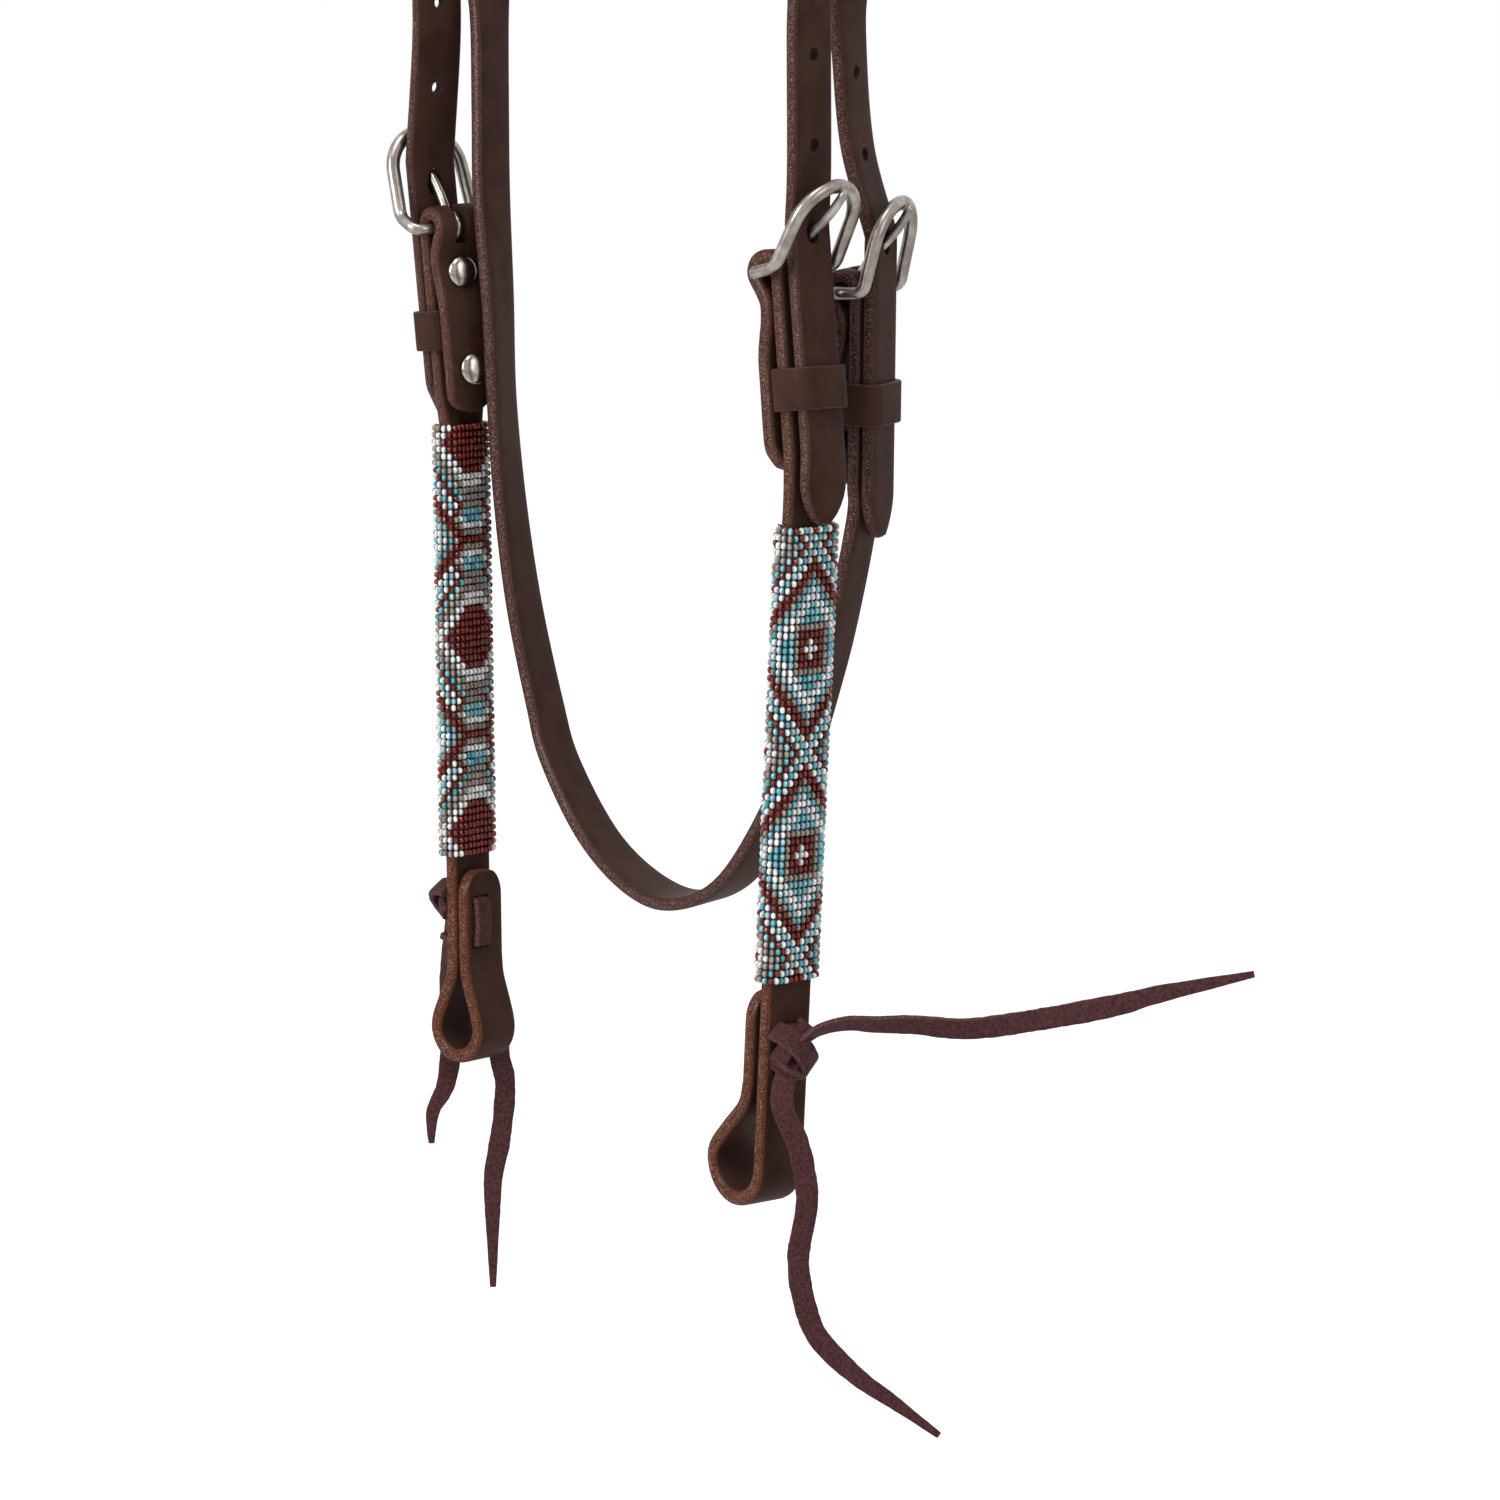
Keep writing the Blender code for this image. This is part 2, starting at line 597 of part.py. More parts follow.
def fold_sections(hang):
    """Sections of a strap's folded tail, from its tip up and round the bar to its front."""
    plan = [(TAIL_LENGTH - ROUND_LENGTH * along, breadth) for along, breadth in ROUND_SHARES]
    keeper_top = KEEPER_DROP - KEEPER_HEIGHT / 2 - KEEPER_ROOM
    plan += [(drop, 1) for drop in (keeper_top, TAIL_STEP, TAIL_CLOSE)]
    plan += [(TAIL_CLOSE * share, 1) for share in reversed(BEND_SHARES[:-1])]
    sections = [hang.section_at(drop, tail_out(drop), STRAP_WIDTH * breadth, CHEEK_THICK)
                for drop, breadth in plan]
    turns = 8
    for index in range(turns + 1):
        angle = math.pi * (1 - index / turns)
        place = hang.at(0, BAR_TO_STRAP * (math.cos(angle) - 1))
        place -= hang.down_at(0) * BAR_TO_STRAP * math.sin(angle)
        normal = hang.out_at(0) * math.cos(angle) - hang.down_at(0) * math.sin(angle)
        sections.append(strap_section(place, hang.across_at(0), normal, STRAP_WIDTH, CHEEK_THICK))
    return align_sections(sections)


def align_sections(sections):
    """Number every section's corners like the first one's."""
    matched = [sections[0]]
    for section in sections[1:]:
        matched = match_sections(matched, [section])
    return matched


def screw_holes(item, matrix, inner, outer, name):
    """Hole through the leather between two faces, with a recess for the post's flange."""
    radius = SCREW_BARREL_RADIUS + CLEARANCE
    recess = SCREW_HEAD_RADIUS + CLEARANCE
    floor = outer - SCREW_FLANGE - CLEARANCE
    for label, start, size in (("hole", inner - CUT_OVERRUN, radius), ("recess", floor, recess)):
        bm = bmesh.new()
        rod(bm, matrix @ Vector((start, 0, 0)), matrix @ Vector((outer + CUT_OVERRUN, 0, 0)),
            size, size, SIDES_SCREW)
        cut(item, bm, f"{name}_{label}")


def slot_and_screw_holes(item, hang):
    """Slot for the tongue through the fold, and the two screw holes through both layers."""
    half = TONGUE_RADIUS + CLEARANCE
    eye = BAR_RADIUS + CLEARANCE + 2 * TONGUE_RADIUS + CLEARANCE
    bm = bmesh.new()
    low = (-2 * BAR_TO_STRAP - CHEEK_THICK - CUT_OVERRUN, -half, -eye)
    high = (CHEEK_THICK + CUT_OVERRUN, half, BAR_TO_STRAP + CHEEK_THICK + CUT_OVERRUN)
    block(bm, hang.frame_at(0), low, high)
    cut(item, bm, f"{item.name}_tongue_slot")
    for index in range(2):
        drop = SCREW_DROP + SCREW_PITCH * index
        screw_holes(item, hang.frame_at(drop), tail_out(drop) - CHEEK_THICK / 2,
                    CHEEK_THICK / 2, f"{item.name}_screw_{index}")


def make_cheek(name, hang, sleeve_drop, fold_gap, loop):
    """Cheek strap: folded over the bar, through the beads, and folded back as the bit loop."""
    bm = bmesh.new()
    sections = fold_sections(hang)
    bend = hang.bend_end - BEND_START
    fold_tip = bead_bottom(sleeve_drop) + CHEEK_REACH
    opening = fold_tip + FOLD_LENGTH
    for drop in [BEND_START] + [BEND_START + bend * share for share in BEND_SHARES]:
        sections.append(hang.section_at(drop, 0, STRAP_WIDTH, CHEEK_THICK))
    sections.append(hang.section_at(opening, 0, STRAP_WIDTH, CHEEK_THICK))
    back = -(CHEEK_THICK + fold_gap)
    sections += loop_sections(hang, opening, back, *loop)
    sections.append(hang.section_at(opening, back, STRAP_WIDTH, CHEEK_THICK))
    for along, breadth in reversed(ROUND_SHARES):
        sections.append(hang.section_at(fold_tip + ROUND_LENGTH * along, back,
                                        STRAP_WIDTH * breadth, CHEEK_THICK))
    skin(bm, [ring(bm, section) for section in align_sections(sections)])
    cheek = make_object(name, bm, LEATHER)
    slot_and_screw_holes(cheek, hang)
    for index in range(2):
        drop = fold_tip + LACE_DROP + LACE_PITCH * index
        half_width = LACE_WIDTH / 2 + CLEARANCE
        half_height = LACE_THICK / 2 + CLEARANCE
        bm = bmesh.new()
        block(bm, hang.frame_at(drop), (back - CHEEK_THICK, -half_width, -half_height),
              (CHEEK_THICK, half_width, half_height))
        cut(cheek, bm, f"{name}_lace_slot_{index}")
    return cheek


def loop_sections(hang, opening, back, width, height, share):
    """Bit loop below the laced layers: a share of its bulge is on the inner side."""
    bulge = width + CHEEK_THICK + back
    radius = (width + CHEEK_THICK) / 2
    middle = back / 2 + bulge * (1 - 2 * share) / 2
    foot = opening + height - width / 2
    turns = 10
    path = [(opening, 0)]
    path += [(opening + (foot - opening) * down, bulge * (1 - share) * out)
             for down, out in FLARE_SHARES]
    path += [(foot + radius * math.sin(math.pi * turn / turns),
              middle + radius * math.cos(math.pi * turn / turns)) for turn in range(turns + 1)]
    path += [(opening + (foot - opening) * down, back - bulge * share * out)
             for down, out in reversed(FLARE_SHARES)]
    path.append((opening, back))
    sections = []
    for index in range(1, len(path) - 1):
        drop, out = path[index]
        down = path[index + 1][0] - path[index - 1][0]
        side = path[index + 1][1] - path[index - 1][1]
        tangent = (hang.down_at(drop) * down + hang.out_at(drop) * side).normalized()
        across = hang.across_at(drop)
        sections.append(strap_section(hang.at(drop, out), across, across.cross(tangent),
                                      STRAP_WIDTH, CHEEK_THICK))
    return sections


def frame_outline(heel, arm):
    """Closed middle line of the wire frame laid flat: bar on the first axis, top up the second."""
    corner_centre = FRAME_BAR_HALF - FRAME_CORNER
    top = heel + arm - FRAME_TOP_RADIUS
    lean = math.atan2(corner_centre, top - FRAME_CORNER)
    span = math.hypot(corner_centre, top - FRAME_CORNER)
    side = lean - math.asin((FRAME_TOP_RADIUS - FRAME_CORNER) / span)
    arcs = ((corner_centre, FRAME_CORNER, FRAME_CORNER, -math.pi / 2, side, 4),
            (0, top, FRAME_TOP_RADIUS, side, math.pi - side, 12),
            (-corner_centre, FRAME_CORNER, FRAME_CORNER, math.pi - side, 3 * math.pi / 2, 4))
    points = []
    for x, y, radius, start, end, count in arcs:
        arc = []
        for index in range(count + 1):
            angle = start + (end - start) * index / count
            arc.append((x + radius * math.cos(angle), y + radius * math.sin(angle)))
        if points:
            points += arm_points(points[-1], arc[0], heel)
        points += arc
    return points


def arm_points(start, end, heel):
    """Points of an arm round its elbow, between the ends of its straight run."""
    steps = [heel + FRAME_ELBOW * turn for turn in (-1, 0, 1)]
    if start[1] > end[1]:
        steps.reverse()
    points = []
    for y in steps:
        share = (y - start[1]) / (end[1] - start[1])
        if 0 < share < 1:
            points.append((start[0] + (end[0] - start[0]) * share, y))
    return points


def bar_matrix(hang, lean):
    """Axes across the bar, up a leaning tongue and square to it, at the bar's middle."""
    out, up = hang.out_at(0), -hang.down_at(0)
    rise = up * math.cos(lean) + out * math.sin(lean)
    square = out * math.cos(lean) - up * math.sin(lean)
    axes = Matrix((hang.across_at(0), rise, square)).transposed()
    return Matrix.Translation(hang.bar) @ axes.to_4x4()


def make_frame(name, hang):
    """Wire frame of a buckle, bent from one rod."""
    across, out_axis, up_axis = hang.across_at(0), hang.out_at(0), -hang.down_at(0)
    places = []
    squares = []
    for x, y in frame_outline(hang.heel, hang.arm):
        out, up, lean = profile_at(hang, y)
        places.append(hang.bar + across * x + out_axis * out + up_axis * up)
        squares.append(out_axis * math.cos(lean) - up_axis * math.sin(lean))
    bm = bmesh.new()
    rings = []
    for index, place in enumerate(places):
        tangent = (places[(index + 1) % len(places)] - places[index - 1]).normalized()
        outside = tangent.cross(squares[index]).normalized()
        square = outside.cross(tangent)
        points = []
        for side in range(SIDES_WIRE):
            angle = 2 * math.pi * (side + 0.5) / SIDES_WIRE
            points.append(place + (outside * math.cos(angle) + square * math.sin(angle))
                          * BAR_RADIUS)
        rings.append(ring(bm, points))
    skin(bm, rings, closed=True)
    return make_object(name, bm, STEEL, pivot=hang.bar)


def make_tongue(name, hang):
    """Tongue: an eye round the bar and a tapering rod that rests on the frame's top."""
    matrix = bar_matrix(hang, tongue_lean(hang))
    eye = BAR_RADIUS + CLEARANCE + TONGUE_RADIUS
    turns = 14
    bm = bmesh.new()
    rings = []
    for turn in range(turns):
        angle = 2 * math.pi * turn / turns
        out = Vector((0, math.cos(angle), math.sin(angle)))
        points = []
        for side in range(SIDES_WIRE):
            around = 2 * math.pi * (side + 0.5) / SIDES_WIRE
            offset = out * math.cos(around) + Vector((1, 0, 0)) * math.sin(around)
            points.append(matrix @ (out * eye + offset * TONGUE_RADIUS))
        rings.append(ring(bm, points))
    skin(bm, rings, closed=True)
    tongue = make_object(name, bm, STEEL, pivot=hang.bar)
    bm = bmesh.new()
    rod(bm, matrix @ Vector((0, eye - TONGUE_RADIUS / 2, 0)),
        matrix @ Vector((0, tongue_length(hang) + TONGUE_RADIUS, 0)),
        TONGUE_RADIUS * SHANK_SHARE, TONGUE_RADIUS * TONGUE_TIP_SHARE, SIDES_WIRE + 2)
    cut(tongue, bm, f"{name}_shank", operation="UNION")
    return tongue


def rounded_outline(low, high, corner, steps=3):
    """Corners of a rounded rectangle in two axes."""
    points = []
    centres = ((high[0] - corner, high[1] - corner, 0), (low[0] + corner, high[1] - corner, 1),
               (low[0] + corner, low[1] + corner, 2), (high[0] - corner, low[1] + corner, 3))
    for x, y, quarter in centres:
        for step in range(steps + 1):
            angle = math.pi / 2 * (quarter + step / steps)
            points.append((x + corner * math.cos(angle), y + corner * math.sin(angle)))
    return points


def tube_between(bm, outer, inner, rings):
    """Open tube with matching outer and inner outlines, placed by a list of functions."""
    walls = []
    for outline in (outer, inner):
        walls.append([ring(bm, [place(x, y) for x, y in outline]) for place in rings])
    for wall in walls:
        skin(bm, wall, caps=(False, False))
    for end in (0, -1):
        skin(bm, [walls[0][end], walls[1][end]], caps=(False, False))


def make_keeper(name, hang, lower):
    """Loose leather loop round the cheek strap and the billet."""
    inner_low = (-CHEEK_THICK / 2 - CLEARANCE, -STRAP_WIDTH / 2 - CLEARANCE)
    inner_high = (hang.billet_out + STRAP_THICK / 2 + CLEARANCE, STRAP_WIDTH / 2 + CLEARANCE)
    outer_low = tuple(value - KEEPER_THICK for value in inner_low)
    outer_high = tuple(value + KEEPER_THICK for value in inner_high)
    inner_corner = KEEPER_CORNER / 2
    outer = rounded_outline(outer_low, outer_high, KEEPER_CORNER)
    inner = rounded_outline(inner_low, inner_high, inner_corner)
    matrix = hang.frame_at(KEEPER_DROP + lower)
    half = KEEPER_HEIGHT / 2
    rings = [lambda x, y, level=level: matrix @ Vector((x, y, level)) for level in (-half, half)]
    bm = bmesh.new()
    tube_between(bm, outer, inner, rings)
    return make_object(name, bm, LEATHER, pivot=hang.at(KEEPER_DROP + lower))


def turned(bm, matrix, profile):
    """Solid turned about the first axis from (along, radius) points, closed at both ends."""
    rings = []
    for along, radius in profile:
        rings.append(ring(bm, [
            matrix @ Vector((along, radius * math.cos(angle), radius * math.sin(angle)))
            for angle in (2 * math.pi * side / SIDES_SCREW for side in range(SIDES_SCREW))]))
    skin(bm, rings)


def make_screw(name, matrix, inner, outer, pivot=None):
    """Two-part leather screw: a barrel with a flange let into the leather, and a domed cap.

    The matrix's first axis points from the cap to the flange; inner and outer are the
    places of the leather's two faces on it."""
    barrel_end = inner + SCREW_RIM
    bore = SCREW_STUD_RADIUS + CLEARANCE
    bore_floor = outer - SCREW_FLANGE - CLEARANCE
    bm = bmesh.new()
    turned(bm, matrix, ((outer, SCREW_HEAD_RADIUS),
                        (outer - SCREW_FLANGE, SCREW_HEAD_RADIUS),
                        (outer - SCREW_FLANGE, SCREW_BARREL_RADIUS),
                        (barrel_end, SCREW_BARREL_RADIUS),
                        (barrel_end, bore), (bore_floor, bore)))
    make_object(f"{name}_post", bm, NICKEL, pivot)
    seat = inner - CLEARANCE
    rim = seat - SCREW_RIM
    profile = [(bore_floor - CLEARANCE * 2, SCREW_STUD_RADIUS), (seat, SCREW_STUD_RADIUS),
               (seat, SCREW_HEAD_RADIUS), (rim, SCREW_HEAD_RADIUS)]
    profile += [(rim - SCREW_DOME * rise, SCREW_HEAD_RADIUS * breadth)
                for rise, breadth in DOME_SHARES]
    bm = bmesh.new()
    turned(bm, matrix, profile)
    make_object(f"{name}_cap", bm, NICKEL, pivot)


def make_buckle_set(name, hang, keeper_lower):
    """Buckle frame, tongue, keeper and screws of one folded strap."""
    make_frame(f"{name}_buckle_frame", hang)
    make_tongue(f"{name}_buckle_tongue", hang)
    make_keeper(f"{name}_keeper", hang, keeper_lower)
    for label, index in (("upper", 0), ("lower", 1)):
        drop = SCREW_DROP + SCREW_PITCH * index
        make_screw(f"{name}_{label}_screw", hang.frame_at(drop),
                   tail_out(drop) - CHEEK_THICK / 2, CHEEK_THICK / 2)


def stadium(width, thick, steps):
    """Outline with round ends across the strap: (out, across) points."""
    radius = thick / 2
    reach = width / 2 - radius
    points = []
    for end in (1, -1):
        for step in range(steps + 1):
            angle = math.pi * (step / steps - 0.5) + (0 if end == 1 else math.pi)
            points.append((radius * math.sin(angle), reach * end + radius * math.cos(angle)))
    return points


def box_outline(outline, width, thick):
    """The outline's points drawn in to a rectangle, for a sleeve's inside."""
    half_width, half_thick = width / 2, thick / 2
    points = []
    for out, across in outline:
        reach = max(abs(out) / half_thick, abs(across) / half_width)
        points.append((out / reach, across / reach))
    return points


def make_sleeve(name, hang, drop):
    """Beaded sleeve worked round the cheek strap."""
    outer = stadium(SLEEVE_WIDTH, SLEEVE_THICK, 6)
    inner = box_outline(outer, STRAP_WIDTH + 2 * SLEEVE_FIT, CHEEK_THICK + 2 * SLEEVE_FIT)
    rings = [lambda x, y, level=level: hang.at(level, x, y)
             for level in (drop, drop + SLEEVE_LENGTH)]
    bm = bmesh.new()
    tube_between(bm, outer, inner, rings)
    return make_object(name, bm, BEADING)


def lace_tail(bm, points, thick):
    """Flat tail of a lace that tapers from the knot to its tip."""
    places = [place for place, roll in smooth_route(points, STATION_STEP)]
    total = len(places) - 1
    rings = []
    for index, place in enumerate(places):
        tangent = (places[min(index + 1, total)] - places[max(index - 1, 0)]).normalized()
        across = tangent.cross(Vector(LACE_LOOK)).normalized()
        width = LACE_WIDTH * (1 - (1 - LACE_TIP_SHARE) * (index / total) ** 2)
        rings.append(ring(bm, strap_section(place, across, across.cross(tangent), width, thick)))
    skin(bm, rings)


def make_lace(name, hang, sleeve_drop, fold_gap, knot_size, tails):
    """Lace: a bridge through both slots, a knot outside and two tails."""
    upper = bead_bottom(sleeve_drop) + CHEEK_REACH + LACE_DROP
    knot_thick, knot_rise = knot_size
    face_in = -(CHEEK_THICK * 3 / 2 + fold_gap + CLEARANCE)
    face_out = CHEEK_THICK / 2 + CLEARANCE
    root = face_out + knot_thick / 2
    matrix = hang.frame_at(upper + LACE_PITCH / 2)
    half_thick, half_width = LACE_THICK / 2, LACE_WIDTH / 2
    high, low = LACE_PITCH / 2 + half_thick, LACE_PITCH / 2 - half_thick
    outline = ((face_in - LACE_THICK, high), (root, high), (root, low), (face_in, low),
               (face_in, -low), (root, -low), (root, -high), (face_in - LACE_THICK, -high))
    bm = bmesh.new()
    skin(bm, [ring(bm, [matrix @ Vector((x, side, z)) for x, z in outline])
              for side in (-half_width, half_width)])
    lace = make_object(name, bm, LACING)
    bm = bmesh.new()
    bmesh.ops.create_icosphere(bm, subdivisions=2, radius=1)
    knot = matrix @ Matrix.Translation((face_out + knot_thick / 2, 0, knot_rise)) @ Matrix.Diagonal(
        (knot_thick / 2, KNOT_WIDTH / 2, KNOT_HEIGHT / 2 + half_thick + knot_rise, 1))
    bmesh.ops.transform(bm, matrix=knot, verts=bm.verts)
    for vert in bm.verts:
        local = matrix.inverted() @ vert.co
        if local.x < face_out:
            local.x = face_out
            vert.co = matrix @ local
    cut(lace, bm, f"{name}_knot", operation="UNION")
    heart = matrix @ Vector((face_out + knot_thick / 2, 0, knot_rise))
    for index, (points, share) in enumerate(zip(tails, LACE_TAIL_SHARES)):
        bm = bmesh.new()
        route = [(*heart, 0)] + [(heart.x + x, heart.y + y, heart.z + z, 0) for x, y, z in points]
        lace_tail(bm, route, LACE_THICK * share)
        cut(lace, bm, f"{name}_tail_{index}", operation="UNION")
    return lace


# Lace tails, hand-laid: (x, y, z) from the knot's heart
NEAR_TAILS = (
    ((0.0032, 0.0046, 0.0060), (0.0080, 0.0114, 0.0083), (0.0127, 0.0182, 0.0080),
     (0.0191, 0.0273, 0.0079), (0.0279, 0.0398, 0.0068), (0.0398, 0.0568, 0.0096),
     (0.0518, 0.0740, 0.0136), (0.0590, 0.0842, 0.0169), (0.0740, 0.1056, 0.0225)),
    ((0.0011, -0.0059, -0.0135), (0.0038, -0.0021, -0.0257), (0.0046, 0.0001, -0.0376),
     (0.0040, 0.0005, -0.0450), (0.0005, 0.0007, -0.0559), (0.0003, 0.0004, -0.0605),
     (0.0008, 0.0011, -0.0686), (0.0026, 0.0037, -0.0797), (0.0055, 0.0078, -0.0868),
     (0.0106, 0.0152, -0.0952), (0.0158, 0.0225, -0.1015), (0.0233, 0.0333, -0.1113)),
)
OFF_TAILS = (
    ((-0.0080, 0.0040, -0.0260), (-0.0085, 0.0050, -0.0440), (-0.0020, -0.0010, -0.0560),
     (-0.0030, -0.0050, -0.0640), (-0.0035, -0.0055, -0.0700), (-0.0035, -0.0055, -0.0745)),
    ((-0.0030, 0.0080, -0.0140), (-0.0030, 0.0145, -0.0260), (0.0000, 0.0165, -0.0390),
     (0.0030, 0.0152, -0.0487), (0.0030, 0.0171, -0.0567), (0.0030, 0.0165, -0.0667),
     (0.0030, 0.0148, -0.0767), (0.0030, 0.0127, -0.0857), (0.0030, 0.0123, -0.0957),
     (0.0030, 0.0123, -0.1207)),
)

# The throatlatch's drape: shares of OFF_OUT, CROWN_PITCH and SPLIT_DROP, with the roll
THROAT_SHARES = (
    (-0.925, 0.812, 1.203, 20), (-0.882, 0.665, 1.392, 23), (-0.860, 0.594, 1.551, 23),
    (-0.830, 0.594, 1.741, 30), (-0.820, 0.629, 1.930, 34), (-0.806, 0.729, 2.120, 30),
    (-0.759, 0.829, 2.316, 25), (-0.692, 1.000, 2.506, 22), (-0.620, 1.047, 2.614, 18),
    (-0.422, 1.088, 2.744, 11), (-0.188, 1.147, 2.816, 0), (0.025, 1.206, 2.823, -6),
    (0.258, 1.294, 2.753, -10), (0.476, 1.412, 2.570, -16), (0.630, 1.500, 2.367, -24),
    (0.714, 1.559, 2.215, -28),
)


def make_throatlatch():
    """Throatlatch: from the crown's off leg under the throat to its near-side buckle."""
    top = -JOIN_DROP - CLEARANCE
    points = [(-OFF_OUT, CROWN_PITCH, top, 0), (-OFF_OUT, CROWN_PITCH, top - JOIN_RUN, 0)]
    points += laid_out(THROAT_SHARES, OFF_OUT)
    for drop in (TAIL_LENGTH + ROUND_LENGTH, TAIL_LENGTH):
        points.append((*THROAT_HANG.at(drop), -THROAT_HANG.yaw_at(drop)))
    upper = route_sections(smooth_route(points, THROAT_STEP), STRAP_WIDTH, STRAP_THICK)
    folded = fold_sections(THROAT_HANG)
    bm = bmesh.new()
    sections = match_sections(upper[:-1], list(reversed(folded)))
    skin(bm, [ring(bm, section) for section in sections])
    throat = make_object("throatlatch_strap", bm, LEATHER)
    slot_and_screw_holes(throat, THROAT_HANG)
    return throat


# Browband in plan: how far its layers lie from a leg's middle, and the loop's ends
BAND_LEG_MIDDLE = CROWN_PITCH / 2
BAND_LAYER = (STRAP_THICK + CLEARANCE) / 2
BAND_SIDE = STRAP_THICK + BAND_LOOP_FIT
BAND_LEG_HALF = (CROWN_PITCH + STRAP_WIDTH) / 2 + BAND_LOOP_FIT
BAND_PLACE = (0, 0, -BAND_DROP)


def leg_loop(leg, side):
    """Plan points round one crown leg, from the tip inside it to the start of the bow."""
    front = BAND_LEG_MIDDLE - BAND_LEG_HALF
    rear = BAND_LEG_MIDDLE + BAND_LEG_HALF + STRAP_THICK / 2 - BAND_SIDE
    closed = front - BAND_FLARE
    points = [(-BAND_LAYER, closed - BAND_SEAT), (-BAND_LAYER, closed), (-BAND_SIDE, front)]
    turns = 8
    for turn in range(turns + 1):
        angle = math.pi * (1 - turn / turns)
        points.append((BAND_SIDE * math.cos(angle), rear + BAND_SIDE * math.sin(angle)))
    points += [(BAND_SIDE, front), (BAND_LAYER, closed), (BAND_LAYER, closed - BAND_SEAT)]
    return [Vector((leg + side * out, y, -BAND_DROP)) for out, y in points]


def bow_points(start, end):
    """Half an ellipse across the forehead between the two legs' loops."""
    depth = BAND_DEPTH + start.y
    middle = (start.x + end.x) / 2
    half = (start.x - end.x) / 2
    points = []
    for station in range(1, BAND_STATIONS):
        angle = math.pi * station / BAND_STATIONS
        points.append(Vector((middle + half * math.cos(angle), start.y - depth * math.sin(angle),
                              -BAND_DROP)))
    return points


def plan_axes(points, index):
    """Directions along and square to a plan line at one of its points."""
    after, before = min(index + 1, len(points) - 1), max(index - 1, 0)
    tangent = (points[after] - points[before]).normalized()
    return tangent, UP.cross(tangent)


def make_browband():
    """Browband: a strap with a loop round each crown leg, its beads and its two screws."""
    near = leg_loop(NEAR_OUT, 1)
    off = leg_loop(-OFF_OUT, -1)
    bow = bow_points(near[-1], off[-1])
    points = near + bow + list(reversed(off))
    bm = bmesh.new()
    rings = []
    for index, place in enumerate(points):
        tangent, normal = plan_axes(points, index)
        rings.append(ring(bm, strap_section(place, UP, normal, STRAP_WIDTH, STRAP_THICK)))
    skin(bm, rings)
    band = make_object("browband_strap", bm, LEATHER, pivot=BAND_PLACE)
    seat = near[-1].y + BAND_SEAT / 2
    face = BAND_LAYER + STRAP_THICK / 2
    for name, leg, side in (("near", NEAR_OUT, 1), ("off", -OFF_OUT, -1)):
        axes = Matrix(((-side, 0, 0), (0, 1, 0), (0, 0, 1))).to_4x4()
        matrix = Matrix.Translation((leg, seat, -BAND_DROP)) @ axes
        screw_holes(band, matrix, -face, face, f"{name}_browband_screw")
        make_screw(f"{name}_browband_screw", matrix, -face, face, pivot=BAND_PLACE)
    make_band_sleeve(bow)


def make_band_sleeve(bow):
    """Beads worked round the middle of the browband's bow."""
    outer = stadium(SLEEVE_WIDTH, SLEEVE_THICK, 6)
    inner = box_outline(outer, STRAP_WIDTH + 2 * SLEEVE_FIT, STRAP_THICK + 2 * SLEEVE_FIT)
    bare = round(len(bow) * (1 - BAND_SLEEVE_SHARE) / 2)
    places = []
    for index in range(bare, len(bow) - bare):
        tangent, normal = plan_axes(bow, index)
        places.append(lambda x, y, middle=bow[index], normal=normal: middle + normal * x + UP * y)
    bm = bmesh.new()
    tube_between(bm, outer, inner, places)
    make_object("browband_beaded_sleeve", bm, BEADING, pivot=BAND_PLACE)


def main():
    clear_scene()
    make_crown()
    make_throatlatch()
    sides = (
        ("near", NEAR_HANG, NEAR_SLEEVE_DROP, NEAR_KEEPER_LOWER, NEAR_FOLD_GAP,
         (NEAR_LOOP_WIDTH, NEAR_LOOP_HEIGHT, NEAR_LOOP_SHARE),
         (NEAR_KNOT_THICK, NEAR_KNOT_RISE), NEAR_TAILS),
        ("off", OFF_HANG, OFF_SLEEVE_DROP, OFF_KEEPER_LOWER, OFF_FOLD_GAP,
         (OFF_LOOP_WIDTH, OFF_LOOP_HEIGHT, OFF_LOOP_SHARE),
         (OFF_KNOT_THICK, OFF_KNOT_RISE), OFF_TAILS))
    for name, hang, drop, keeper_lower, fold_gap, loop, knot_size, tails in sides:
        make_cheek(f"{name}_cheek_strap", hang, drop, fold_gap, loop)
        make_buckle_set(f"{name}_cheek", hang, keeper_lower)
        make_sleeve(f"{name}_beaded_sleeve", hang, drop)
        make_lace(f"{name}_bit_lace", hang, drop, fold_gap, knot_size, tails)
    make_buckle_set("throat", THROAT_HANG, 0)
    make_browband()


main()
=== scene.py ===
"""Western headstall with two beaded cheeks: the looks of every piece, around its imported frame.

Lengths are in metres and angles in degrees. The crown's underside is the origin, +Z is up and
the horse faces -Y. The near (left) cheek is at +X and the off cheek at -X.
"""
import math
import random

import bmesh
import bpy
from mathutils import Matrix, Vector, noise


